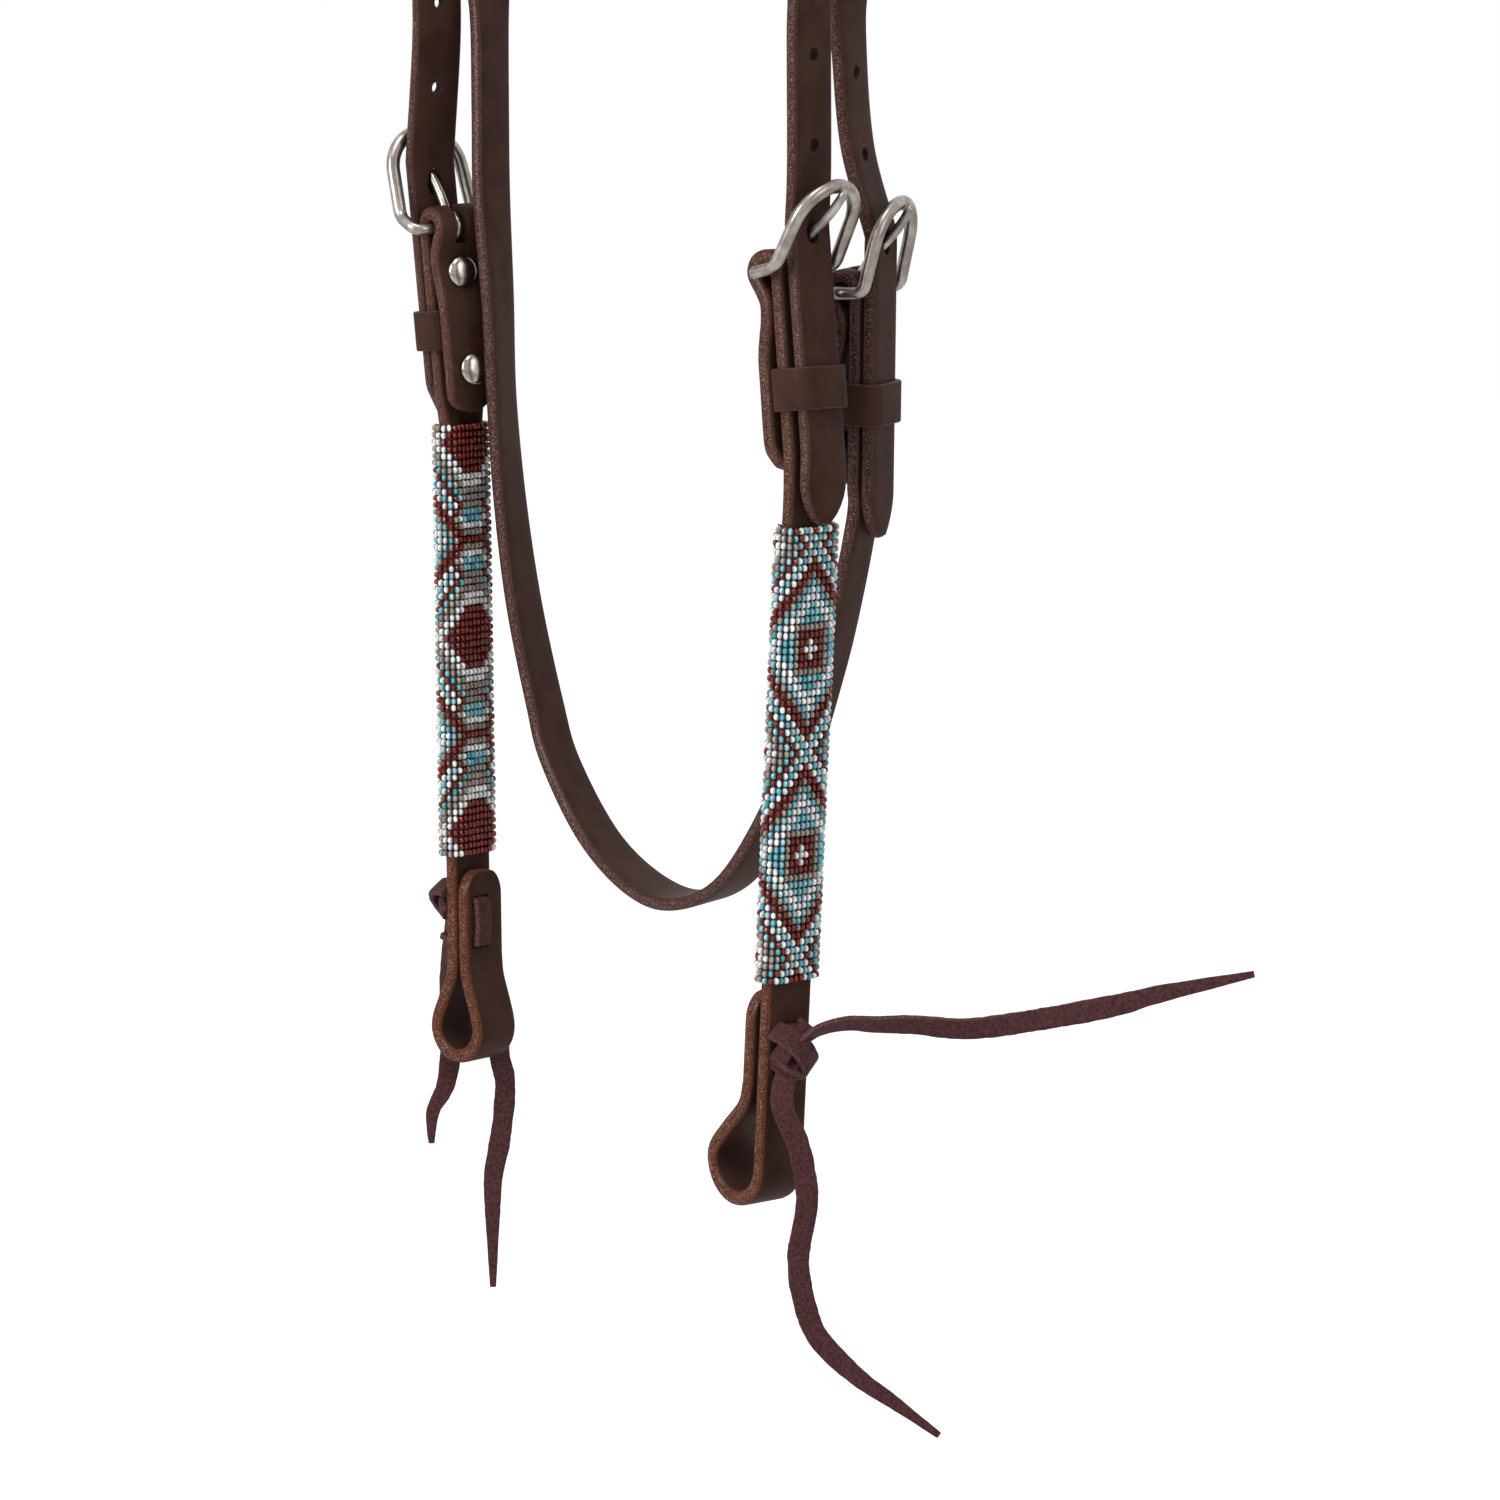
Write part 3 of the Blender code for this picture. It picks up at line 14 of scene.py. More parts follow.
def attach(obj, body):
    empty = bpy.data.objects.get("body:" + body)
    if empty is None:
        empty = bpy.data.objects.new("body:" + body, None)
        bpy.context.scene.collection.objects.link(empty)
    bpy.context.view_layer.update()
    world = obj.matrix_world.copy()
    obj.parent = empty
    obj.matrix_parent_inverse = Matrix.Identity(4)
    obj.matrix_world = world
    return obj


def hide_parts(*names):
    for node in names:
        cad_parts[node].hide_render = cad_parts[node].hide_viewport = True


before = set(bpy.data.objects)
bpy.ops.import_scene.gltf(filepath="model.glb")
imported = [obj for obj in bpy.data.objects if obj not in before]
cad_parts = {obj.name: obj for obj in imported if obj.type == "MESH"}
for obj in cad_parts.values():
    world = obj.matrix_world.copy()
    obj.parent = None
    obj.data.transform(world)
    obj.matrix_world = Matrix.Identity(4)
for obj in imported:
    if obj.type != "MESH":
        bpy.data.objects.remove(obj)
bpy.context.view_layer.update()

# Leather
STRAP_WIDTH = 0.016
STRAP_THICK = 0.0038
CHEEK_THICK = 0.0044
CLEARANCE = 0.0003
SLIT = 0.001
CROWN_PITCH = STRAP_WIDTH + SLIT
EDGE_ROUND_SHARE = 0.36         # of a strap's thickness
EDGE_SQUARENESS = 0.75
FACE_STEPS = 4
EDGE_STEPS = 6
STATION_STEP = 0.0022           # between cross-sections along a strap
TIP_STEP = 0.0007               # the same where a strap's end is rounded
HOLE_RADIUS = 0.0019
HOLE_PITCH = 0.0254
POINT_LENGTH = 0.012
ROUND_LENGTH = 0.008
TIP_ROUND = 0.0007              # rounding where a strap ends

# Crown
NEAR_OUT = 0.0907
OFF_OUT = 0.1008
ARCH_DROP = 0.098
SPLIT_DROP = 0.158
JOIN_DROP = 0.170
JOIN_RUN = 0.005
BILLET_LEAD = 0.0041            # straight part of a billet above its hole in use

# Straps that hang from the buckle bars
BEND_START = 0.0500
BAR_RADIUS = 0.0018
BAR_TO_STRAP = BAR_RADIUS + CLEARANCE + CHEEK_THICK / 2
FOLD_OUT = -(CHEEK_THICK + CLEARANCE)
NEAR_SLEEVE_DROP = 0.0704
OFF_SLEEVE_DROP = 0.0588
NEAR_FOLD_GAP = 0.0020          # between a cheek and its fold-back above the bit loop
OFF_FOLD_GAP = 0.0003

# Buckle
TONGUE_RADIUS = 0.0013
TONGUE_ROOM = 0.0012            # round it in its hole, for its lean as the frame swings
TONGUE_TIP_SHARE = 0.7
TONGUE_ROUND_SHARE = 0.93       # of its length, where its tip starts to round off
TONGUE_ROUND_RUN_SHARE = 0.0715
FRAME_HEEL = 0.0086
FRAME_ARM = 0.0250
FRAME_ELBOW = 0.0020
FRAME_TOP_RADIUS = 0.0120
FRAME_BAR_HALF = 0.0130
FRAME_CORNER = 0.0030
WIRE_SIDES = 16
ARM_SWELL = 1.17                # the arms are forged wider than the bar, not deeper
TONGUE_SWELL = 1.13
TONGUE_TIP_SWELL = 0.95
TONGUE_WAVE = 0.0006            # of its double bend

# Keeper and screws
KEEPER_HEIGHT = 0.012
KEEPER_THICK = 0.0018
KEEPER_CORNER = 0.0034
KEEPER_DROP = 0.0315
KEEPER_ROOM = 0.0040
NEAR_KEEPER_LOWER = 0.0012      # than its usual place
OFF_KEEPER_LOWER = -0.0010
SCREW_DROP = 0.0136
SCREW_PITCH = 0.0290
SCREW_HEAD_RADIUS = 0.00485
SCREW_BARREL_RADIUS = 0.0024
SCREW_FLANGE = 0.0010
SCREW_DOME = 0.0020
SCREW_RIM = 0.0005
SCREW_SOFT = 0.0003             # bevel of the flange's rim
SCREW_STEPS = 40
TAIL_OUT = FOLD_OUT - KEEPER_THICK - CLEARANCE
TAIL_LENGTH = 0.0550
TAIL_CLOSE = 0.0086
TAIL_STEP = SCREW_DROP + SCREW_HEAD_RADIUS + CLEARANCE
TAIL_TIP_GAP = 0.0004           # to the strap, over the fold's clearance
TAIL_EASE = 0.0010              # above its step, where the tail is half-way out

# Beads
BEAD_PITCH = 0.00211
BEAD_ROWS = 62
BEADS_ROUND = 28
BEAD_RADIUS = 0.00104
BEAD_HALF_LENGTH = 0.00077
BEAD_END_PAINTED_SHADE = 0.85          # of a bead's colour lost towards its ends, as painted shade between touching beads
BEAD_STRAY = 0.0001             # off its place, at most
BEAD_TILT = 0.10
SLEEVE_WIDTH = 0.0214
SLEEVE_THICK = 0.0098
SLEEVE_LENGTH = BEAD_PITCH * BEAD_ROWS
CORE_THICK = 0.0007
BILLET_SHORT = 0.0015

# Bit loops
CHEEK_REACH = 0.0045
FOLD_LENGTH = 0.0260
LACE_WIDTH = 0.0060
LACE_THICK = 0.0022
LACE_DROP = 0.0090
LACE_PITCH = 0.0130
LACE_ROOM = 0.0008              # in its slots
OFF_LACE_ASIDE = -0.0023        # rearwards of the strap's middle; below zero is forward
KNOT_ENTRY = 0.0010             # from a slot's middle to where the lace enters the knot
# Opening of each bit loop: width, height and the share of its bulge that is inside
NEAR_BIT_LOOP = (0.0165, 0.0330, 1.0)
OFF_BIT_LOOP = (0.0125, 0.0285, 0.4)
BIT_LOOP_FLARE_SHARES = ((0.0, 0.0), (0.3, 0.12), (0.6, 0.55), (0.85, 0.9))

# Browband
BAND_DROP = 0.1250
BAND_DEPTH = 0.1150
BAND_FLARE = 0.0060
BAND_LOOP_FIT = 0.0007
BAND_SLEEVE_SHARE = 0.62
BAND_SEAT = 0.0140
BOW_STEPS = 24
BOW_FINE_STEPS = 400            # in which the beaded part of the bow is measured
BOW_BEAD_STEPS = 40             # the beads start and end at whole ones of these
UP = Vector((0, 0, 1))

# The photograph's view
CAMERA_PLACE = (1.582, -1.064, -0.098)
CAMERA_TARGET = (0.0205, 0.0292, -0.400)
CAMERA_LENS = 159.4
FLOOR_LEVEL = -1.15
FLOOR_HALF = 6.0
FILL_STRENGTH = 0.62            # of the white tent, for light that isn't seen or mirrored
# Name, place, size and power in watts
SOFT_BOXES = (("left_soft_box", (0.1, -2.1, 0.5), (0.8, 1.3), 40),
              ("right_soft_box", (2.2, 0.7, 0.4), (0.6, 1.2), 9),
              ("top_soft_box", (0.6, -0.4, 1.6), (1.0, 1.0), 20))


# Finishes

def display(red, green, blue):
    """Linear colour from display values of 0 to 255."""
    def linear(value):
        share = value / 255
        return share / 12.92 if share <= 0.04045 else ((share + 0.055) / 1.055) ** 2.4
    return (linear(red), linear(green), linear(blue), 1.0)


class Wiring:
    """Adds nodes to a tree and joins them by the names of their sockets."""

    def __init__(self, tree):
        self.tree = tree

    def join(self, value, socket):
        if isinstance(value, bpy.types.NodeSocket):
            self.tree.links.new(value, socket)
        else:
            socket.default_value = value

    def node(self, kind, links=None, **settings):
        made = self.tree.nodes.new(f"ShaderNode{kind}")
        for key, value in settings.items():
            setattr(made, key, value)
        for key, value in (links or {}).items():
            self.join(value, made.inputs[key])
        return made

    def blend(self, share, low, high):
        """Colour between two by a share."""
        made = self.node("Mix", data_type="RGBA")
        for index, value in ((0, share), (6, low), (7, high)):
            self.join(value, made.inputs[index])
        return made.outputs[2]

    def ease(self, value, low, high, start=0.0, end=1.0):
        """Smooth step of a value from low to high."""
        made = self.node("MapRange", {"Value": value, "From Min": low, "From Max": high,
                                      "To Min": start, "To Max": end},
                         interpolation_type="SMOOTHSTEP")
        return made.outputs["Result"]

    def sum(self, first, second, share=1.0):
        """first + second * share."""
        made = self.node("Math", {0: second, 1: share, 2: first}, operation="MULTIPLY_ADD")
        return made.outputs["Value"]

    def times(self, first, second):
        return self.node("Math", {0: first, 1: second}, operation="MULTIPLY").outputs["Value"]

    def clouds(self, where, scale, detail=3.0, roughness=0.55):
        return self.node("TexNoise", {"Vector": where, "Scale": scale, "Detail": detail,
                                      "Roughness": roughness}).outputs["Fac"]

    def place(self):
        return self.node("TexCoord").outputs["Object"]

    def attribute(self, name, output="Fac"):
        return self.node("Attribute", attribute_name=name).outputs[output]


def new_group(name, inputs, outputs):
    """Empty shader group with named sockets; returns its wiring, its inputs and a closer."""
    group = bpy.data.node_groups.new(name, "ShaderNodeTree")
    for label, kind, value in inputs:
        socket = group.interface.new_socket(label, in_out="INPUT",
                                            socket_type=f"NodeSocket{kind}")
        socket.default_value = value
    for label, kind in outputs:
        group.interface.new_socket(label, in_out="OUTPUT", socket_type=f"NodeSocket{kind}")
    start = group.nodes.new("NodeGroupInput")
    end = group.nodes.new("NodeGroupOutput")
    wires = Wiring(group)

    def close(**values):
        for label, value in values.items():
            wires.join(value, end.inputs[label])
        return group
    return wires, start.outputs, close


def leather_group():
    """Grain, mottling and burnished or raw edges of bridle leather, with a painted highlight along
    the middle of each edge.
    """
    wires, given, close = new_group("leather_surface", (
        ("Face", "Color", display(59, 39, 33)), ("Deep", "Color", display(49, 31, 26)),
        ("Burnished", "Color", display(74, 47, 41)), ("Under", "Color", display(40, 23, 20)),
        ("Raw", "Color", display(100, 52, 28)), ("Raw Under", "Color", display(44, 24, 16)),
        # colour of the painted highlight along the leather's edges
        ("Painted Highlight", "Color", display(150, 122, 110)),
        ("Grain Scale", "Float", 1500.0), ("Gloss", "Float", 0.42),
    ), (("Color", "Color"), ("Roughness", "Float"), ("Coat", "Float"), ("Height", "Float")))
    where = wires.place()
    edge = wires.attribute("edge")
    rawness = wires.attribute("raw")
    mottle = wires.clouds(where, 95.0, 4.0)
    patches = wires.clouds(where, 420.0, 3.0, 0.6)
    fibre = wires.clouds(where, 2100.0, 3.0, 0.7)
    face = wires.blend(wires.ease(mottle, 0.32, 0.66), given["Deep"], given["Face"])
    cells = wires.node("TexVoronoi", {"Vector": where, "Scale": given["Grain Scale"]},
                       feature="DISTANCE_TO_EDGE").outputs["Distance"]
    specks = wires.ease(fibre, 0.38, 0.62)
    burnished = wires.blend(specks, given["Under"], given["Burnished"])
    raw_side = wires.blend(specks, given["Raw Under"], given["Raw"])
    raw_side = wires.blend(wires.ease(patches, 0.48, 0.72, 0.0, 0.7), raw_side,
                           given["Raw Under"])
    side = wires.blend(rawness, burnished, raw_side)
    # Painted highlight: a light line, broken into specks, along the middle of each rounded edge.
    middle = wires.times(wires.ease(edge, 0.72, 1.0), wires.ease(fibre, 0.52, 0.70, 0.0, 0.75))
    side = wires.blend(middle, side, given["Painted Highlight"])
    wavering = wires.sum(wires.sum(edge, patches, 0.25), -0.125)
    mask = wires.ease(wavering, 0.18, 0.5)
    roughness = wires.sum(wires.sum(given["Gloss"], mask, 0.06), mottle, 0.12)
    creases = wires.ease(cells, 0.0, 0.12)
    return close(Color=wires.blend(mask, face, side), Roughness=roughness,
                 Coat=wires.times(mask, 0.22),
                 Height=wires.sum(wires.times(creases, 0.4), wires.times(fibre, mask), 1.0))


def suede_group():
    """Short fibres and fine specks of latigo lace, rough at its cut edges."""
    wires, given, close = new_group("suede_surface", (
        ("Face", "Color", display(74, 41, 43)), ("Deep", "Color", display(44, 24, 26)),
        ("Edge", "Color", display(100, 68, 66)),
    ), (("Color", "Color"), ("Roughness", "Float"), ("Height", "Float")))
    where = wires.place()
    edge = wires.attribute("edge")
    blotches = wires.clouds(where, 1100.0, 4.0, 0.65)
    fibre = wires.clouds(where, 2400.0, 4.0, 0.75)
    face = wires.blend(wires.ease(blotches, 0.34, 0.62), given["Deep"], given["Face"])
    face = wires.blend(wires.ease(fibre, 0.50, 0.70, 0.0, 0.35), face, given["Deep"])
    side = wires.blend(wires.ease(fibre, 0.40, 0.62), given["Deep"], given["Edge"])
    mask = wires.ease(edge, 0.35, 0.9)
    return close(Color=wires.blend(mask, face, side), Roughness=wires.sum(0.68, mask, 0.12),
                 Height=wires.sum(fibre, blotches, 0.8))


def metal_group():
    """Fine tumbling marks and slight tarnish on wire and screws."""
    wires, given, close = new_group("metal_surface", (
        ("Bright", "Color", display(176, 169, 161)), ("Dull", "Color", display(134, 126, 119)),
        ("Gloss", "Float", 0.24),
    ), (("Color", "Color"), ("Roughness", "Float"), ("Height", "Float")))
    where = wires.place()
    haze = wires.clouds(where, 160.0, 3.0)
    marks = wires.clouds(where, 2600.0, 2.0, 0.6)
    return close(Color=wires.blend(wires.ease(haze, 0.35, 0.7), given["Dull"], given["Bright"]),
                 Roughness=wires.sum(wires.sum(given["Gloss"], haze, 0.10), marks, 0.05),
                 Height=marks)


def finish(name, group, bump, distance, shader_values, **group_values):
    """Material whose colour, roughness and bump come from a group."""
    material = bpy.data.materials.new(name)
    material.use_nodes = True
    tree = material.node_tree
    shader = tree.nodes["Principled BSDF"]
    source = tree.nodes.new("ShaderNodeGroup")
    source.node_tree = group
    for label, value in group_values.items():
        source.inputs[label.replace("_", " ")].default_value = value
    bumps = tree.nodes.new("ShaderNodeBump")
    bumps.inputs["Strength"].default_value = bump
    bumps.inputs["Distance"].default_value = distance
    tree.links.new(source.outputs["Height"], bumps.inputs["Height"])
    tree.links.new(bumps.outputs["Normal"], shader.inputs["Normal"])
    tree.links.new(source.outputs["Color"], shader.inputs["Base Color"])
    tree.links.new(source.outputs["Roughness"], shader.inputs["Roughness"])
    if "Coat" in source.outputs:
        tree.links.new(source.outputs["Coat"], shader.inputs["Coat Weight"])
    for label, value in shader_values.items():
        shader.inputs[label].default_value = value
    return material


def bead_group():
    """Glass of the seed beads in each bead's own colour, darkened towards its ends by painted
    shade, with slight swirls.
    """
    wires, given, close = new_group("bead_surface", (
        ("Swirl Scale", "Float", 900.0),
    ), (("Color", "Color"), ("Roughness", "Float"), ("Height", "Float")))
    where = wires.place()
    own = wires.attribute("glass", "Color")
    swirl = wires.clouds(where, given["Swirl Scale"], 2.0)
    deeper = wires.blend(0.16, own, (0, 0, 0, 1))
    return close(Color=wires.blend(wires.ease(swirl, 0.4, 0.7), own, deeper),
                 Roughness=wires.sum(0.07, swirl, 0.12), Height=swirl)


LEATHER = leather_group()
SUEDE = suede_group()
METAL = metal_group()
GLASS = bead_group()
BRIDLE = finish("bridle_leather", LEATHER, 0.3, 0.0001,
                {"Specular IOR Level": 0.04, "Coat Roughness": 0.3})
LATIGO = finish("latigo_lace", SUEDE, 0.6, 0.00018, {"Specular IOR Level": 0.12})
STEEL = finish("satin_steel", METAL, 0.05, 0.00003, {"Metallic": 1.0})
NICKEL = finish("nickel_plate", METAL, 0.04, 0.00002, {"Metallic": 1.0},
                Bright=display(184, 177, 167), Dull=display(146, 139, 130), Gloss=0.14)
SEED_GLASS = finish("seed_bead_glass", GLASS, 0.05, 0.00005, {"Specular IOR Level": 0.4})
BEAD_THREAD = finish("bead_thread", LEATHER, 0.4, 0.0001, {"Specular IOR Level": 0.3},
                     Face=display(54, 48, 52), Deep=display(34, 30, 34))


# Shaping

def finished(name, bm, material, body, *nodes):
    """Piece from a bmesh, riding on its body and standing for its nodes."""
    mesh = bpy.data.meshes.new(name)
    bm.to_mesh(mesh)
    bm.free()
    mesh.shade_smooth()
    mesh.set_sharp_from_angle(angle=math.radians(42))
    mesh.materials.append(material)
    item = bpy.data.objects.new(name, mesh)
    bpy.context.scene.collection.objects.link(item)
    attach(item, body)
    if nodes:
        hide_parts(*nodes)
    return item


def strap_outline(width, thick):
    """Round a strap's cross-section: (across, out, how far on to the edge)."""
    radius = EDGE_ROUND_SHARE * thick
    flat = width / 2 - radius
    points = []
    for side in (1, -1):
        for step in range(FACE_STEPS):
            points.append((side * flat * (1 - 2 * step / FACE_STEPS), side * thick / 2, 0))
        for step in range(EDGE_STEPS):
            angle = math.pi * step / EDGE_STEPS
            bulge = math.sin(angle) ** EDGE_SQUARENESS
            rise = math.copysign(abs(math.cos(angle)) ** EDGE_SQUARENESS, math.cos(angle))
            points.append((-side * (flat + radius * bulge), side * rise * thick / 2,
                           math.sin(angle)))
    return points


def round_outline(radius, sides=WIRE_SIDES):
    """Cross-section of round wire."""
    return [(radius * math.cos(2 * math.pi * side / sides),
             radius * math.sin(2 * math.pi * side / sides), 0) for side in range(sides)]


def station(place, across, out, breadth=1, depth=1, raw=0):
    """Cross-section's place: its matrix, and how raw its cut edge is."""
    along = across.cross(out)
    axes = Matrix((across * breadth, out * depth, along)).transposed().to_4x4()
    return Matrix.Translation(place) @ axes, raw


def sweep(bm, outline, stations, closed=False, caps=True, blunt=(False, False)):
    """Draw an outline through its stations; a blunt end is cut leather all over."""
    edge = bm.verts.layers.float.get("edge") or bm.verts.layers.float.new("edge")
    raw = bm.verts.layers.float.get("raw") or bm.verts.layers.float.new("raw")
    verts = []
    for across, out, share in outline:
        vert = bm.verts.new((across, out, 0))
        vert[edge] = share
        verts.append(vert)
    edges = [bm.edges.new((before, after)) for before, after in zip(verts, verts[1:] + verts[:1])]
    matrix, rawness = stations[0]
    bmesh.ops.transform(bm, matrix=matrix, verts=verts)
    for vert in verts:
        vert[raw] = rawness
        if blunt[0]:
            vert[edge] = 1
    first = edges
    if caps and not closed:
        bmesh.ops.edgeloop_fill(bm, edges=first)
    for index, (after, rawness) in enumerate(stations[1:]):
        made = bmesh.ops.extrude_edge_only(bm, edges=edges)["geom"]
        verts = [item for item in made if isinstance(item, bmesh.types.BMVert)]
        fresh = set(verts)
        edges = [item for item in made if isinstance(item, bmesh.types.BMEdge)
                 and item.verts[0] in fresh and item.verts[1] in fresh]
        bmesh.ops.transform(bm, matrix=after @ matrix.inverted(), verts=verts)
        matrix = after
        if index == 0 and blunt[0]:
            for vert in verts:
                local = matrix.inverted() @ vert.co
                vert[edge] = min(outline, key=lambda point: abs(point[0] - local.x)
                                 + abs(point[1] - local.y))[2]
        for vert in verts:
            vert[raw] = rawness
            if blunt[1] and index == len(stations) - 2:
                vert[edge] = 1
    if closed:
        bmesh.ops.bridge_loops(bm, edges=first + edges)
    elif caps:
        bmesh.ops.edgeloop_fill(bm, edges=edges)
    return bm


def swept(outline, stations, **settings):
    bm = sweep(bmesh.new(), outline, stations, **settings)
    bmesh.ops.recalc_face_normals(bm, faces=bm.faces)
    return bm


def rod(bm, start, end, radius, sides=20):
    """Round cutter between two points."""
    middle = (start + end) / 2
    turn = (end - start).to_track_quat("Z", "Y").to_matrix().to_4x4()
    bmesh.ops.create_cone(bm, cap_ends=True, segments=sides, radius1=radius, radius2=radius,
                          depth=(end - start).length, matrix=Matrix.Translation(middle) @ turn)


def scratch(name, bm):
    """Object for one step of the work, from a bmesh that it uses up."""
    mesh = bpy.data.meshes.new(name)
    bm.to_mesh(mesh)
    bm.free()
    item = bpy.data.objects.new(name, mesh)
    bpy.context.scene.collection.objects.link(item)
    return item


def carved(bm, cutters):
    """Take the cutters' volumes out of one closed shape."""
    bmesh.ops.recalc_face_normals(cutters, faces=cutters.faces)
    solid, tool = scratch("solid", bm), scratch("cutter", cutters)
    step = solid.modifiers.new("carve", "BOOLEAN")
    step.solver = "EXACT"
    step.object = tool
    depsgraph = bpy.context.evaluated_depsgraph_get()
    mesh = bpy.data.meshes.new_from_object(solid.evaluated_get(depsgraph))
    bpy.data.objects.remove(solid)
    bpy.data.objects.remove(tool)
    bm = bmesh.new()
    bm.from_mesh(mesh)
    return bm


def gathered(shapes):
    """One bmesh of several."""
    whole = bmesh.new()
    mesh = bpy.data.meshes.new("shape")
    for bm in shapes:
        bm.to_mesh(mesh)
        bm.free()
        whole.from_mesh(mesh)
    return whole


def smooth_line(points, step):
    """Points every step along a Catmull-Rom curve; only the first three numbers measure it."""
    knots = [Vector(point) for point in points]
    knots = [knots[0] * 2 - knots[1]] + knots + [knots[-1] * 2 - knots[-2]]
    line = []
    for index in range(1, len(knots) - 2):
        before, start, end, after = knots[index - 1:index + 3]
        count = max(1, math.ceil((Vector(end[:3]) - Vector(start[:3])).length / step))
        for piece in range(count):
            t = piece / count
            line.append(0.5 * (2 * start + (end - before) * t
                               + (2 * before - 5 * start + 4 * end - after) * t ** 2
                               + (3 * start - before - 3 * end + after) * t ** 3))
    line.append(knots[-2])
    return line


def across_of(tangent, roll):
    """Direction across a strap: rearwards and square to its run, rolled about it."""
    turn = math.radians(roll)
    rear = Vector((0, 1, 0))
    flat = (rear - tangent * rear.dot(tangent)).normalized()
    return flat * math.cos(turn) - tangent.cross(flat) * math.sin(turn)


def run_of(places, index):
    """Direction of a line at one of its points."""
    after, before = min(index + 1, len(places) - 1), max(index - 1, 0)
    return (places[after] - places[before]).normalized()


def route_stations(line):
    """Stations along (x, y, z, roll) points."""
    places = [point.xyz for point in line]
    stations = []
    for index, point in enumerate(line):
        tangent = run_of(places, index)
        across = across_of(tangent, point.w)
        stations.append(station(point.xyz, across, across.cross(tangent)))
    return stations


class HangingStrap:
    """Middle line of a strap that hangs from a buckle bar, bending once on the way down."""

    def __init__(self, bar, side, leans, swings, yaws, bend_end, billet_gap, buckle):
        self.bar = Vector(bar)
        self.side = side
        self.yaws = yaws
        self.bend_end = bend_end
        self.billet_out = CHEEK_THICK / 2 + billet_gap + STRAP_THICK / 2
        self.frame_lean, self.heel, self.heel_bend, self.arm = buckle
        self.ways = [Vector((-side * math.sin(math.radians(lean)), math.sin(math.radians(swing)),
                             -math.cos(math.radians(lean)))).normalized()
                     for lean, swing in zip(leans, swings)]
        self.start = self.bar + self.out_at(0) * BAR_TO_STRAP

    def bend_share(self, drop):
        share = (drop - BEND_START) / (self.bend_end - BEND_START)
        return min(max(share, 0), 1)

    def yaw_at(self, drop):
        return self.yaws[0] + (self.yaws[1] - self.yaws[0]) * self.bend_share(drop)

    def down_at(self, drop):
        return self.ways[0].lerp(self.ways[1], self.bend_share(drop)).normalized()

    def across_at(self, drop):
        return across_of(self.down_at(drop), self.yaw_at(drop))

    def out_at(self, drop):
        return self.down_at(drop).cross(self.across_at(drop)) * self.side

    def at(self, drop, out=0):
        """Point at a drop below the bar and out from the strap's middle."""
        bend = self.bend_end - BEND_START
        share = self.bend_share(drop)
        turned = bend * share * share / 2
        place = self.start + self.ways[0] * (min(drop, BEND_START) + bend * share - turned)
        place += self.ways[1] * (turned + max(drop - self.bend_end, 0))
        return place + self.out_at(drop) * out

    def frame_at(self, drop):
        """Axes outwards, across and up the strap at a drop, as a matrix."""
        axes = Matrix((self.out_at(drop), self.across_at(drop), -self.down_at(drop)))
        return Matrix.Translation(self.at(drop)) @ axes.transposed().to_4x4()

    def stations(self, path):
        """Stations along (drop, out, breadth, raw) points."""
        places = [self.at(point[0], point[1]) for point in path]
        made = []
        for index, (drop, out, breadth, raw) in enumerate(path):
            tangent = run_of(places, index)
            across = self.across_at(drop)
            across = (across - tangent * across.dot(tangent)).normalized()
            made.append(station(places[index], across, across.cross(tangent), breadth, 1, raw))
        return made


# Each buckle is its frame's lean, heel length, heel bend and arm length
NEAR_HANG = HangingStrap(bar=(0.0775, 0, -0.2555), side=1, leans=(-7.0, 4.2), swings=(0, 0),
                         yaws=(14.0, 4.0), bend_end=NEAR_SLEEVE_DROP, billet_gap=0.0021,
                         buckle=(33.0, FRAME_HEEL, 50.0, FRAME_ARM))
OFF_HANG = HangingStrap(bar=(-0.0930, 0, -0.2538), side=-1, leans=(5.0, 1.0), swings=(2.5, 0),
                        yaws=(0.0, 14.0), bend_end=OFF_SLEEVE_DROP, billet_gap=0.0006,
                        buckle=(12.0, FRAME_HEEL, 50.0, FRAME_ARM))
THROAT_HANG = HangingStrap(bar=(0.0735, 0.0270, -0.2620), side=1, leans=(1.0, 1.0), swings=(0, 0),
                           yaws=(30.0, 30.0), bend_end=TAIL_LENGTH + ROUND_LENGTH,
                           billet_gap=0.0003, buckle=(13.0, FRAME_HEEL, 75.0, FRAME_ARM))


def tapered(path, last, length, breadth_of):
    """Narrow a path towards its first or last point."""
    order = path[::-1] if last else path
    walked = 0
    shaped = []
    for index, (drop, out, breadth, raw) in enumerate(order):
        before = order[max(index - 1, 0)]
        walked += math.hypot(drop - before[0], out - before[1])
        narrow = breadth_of(walked / length) if walked < length else breadth
        shaped.append((drop, out, narrow, raw))
    return shaped[::-1] if last else shaped


def pointed(share):
    """Width at a share of the way into a billet's point."""
    return 0.30 + 0.70 * math.sin(math.pi / 2 * share) ** 0.8


def rounded(share):
    """Width at a share of the way into a strap's rounded tip."""
    return 0.22 + 0.78 * math.sqrt(1 - (1 - share) ** 2)


# Crown, its billets and their holes

def profile_at(hang, along):
    """Side view of the frame: out and up from the bar, and the lean, at a length along it."""
    arm = math.radians(hang.frame_lean)
    bend = math.radians(hang.heel_bend)
    start = hang.heel - FRAME_ELBOW
    turned = min(max((along - start) / (2 * FRAME_ELBOW), 0), 1)
    lean = arm + bend * (1 - turned)
    radius = 2 * FRAME_ELBOW / bend
    straight = min(along, start)
    after = max(along - start - 2 * FRAME_ELBOW, 0)
    out = (straight * math.sin(arm + bend) + radius * (math.cos(lean) - math.cos(arm + bend))
           + after * math.sin(arm))
    up = (straight * math.cos(arm + bend) + radius * (math.sin(arm + bend) - math.sin(lean))
          + after * math.cos(arm))
    return out, up, lean


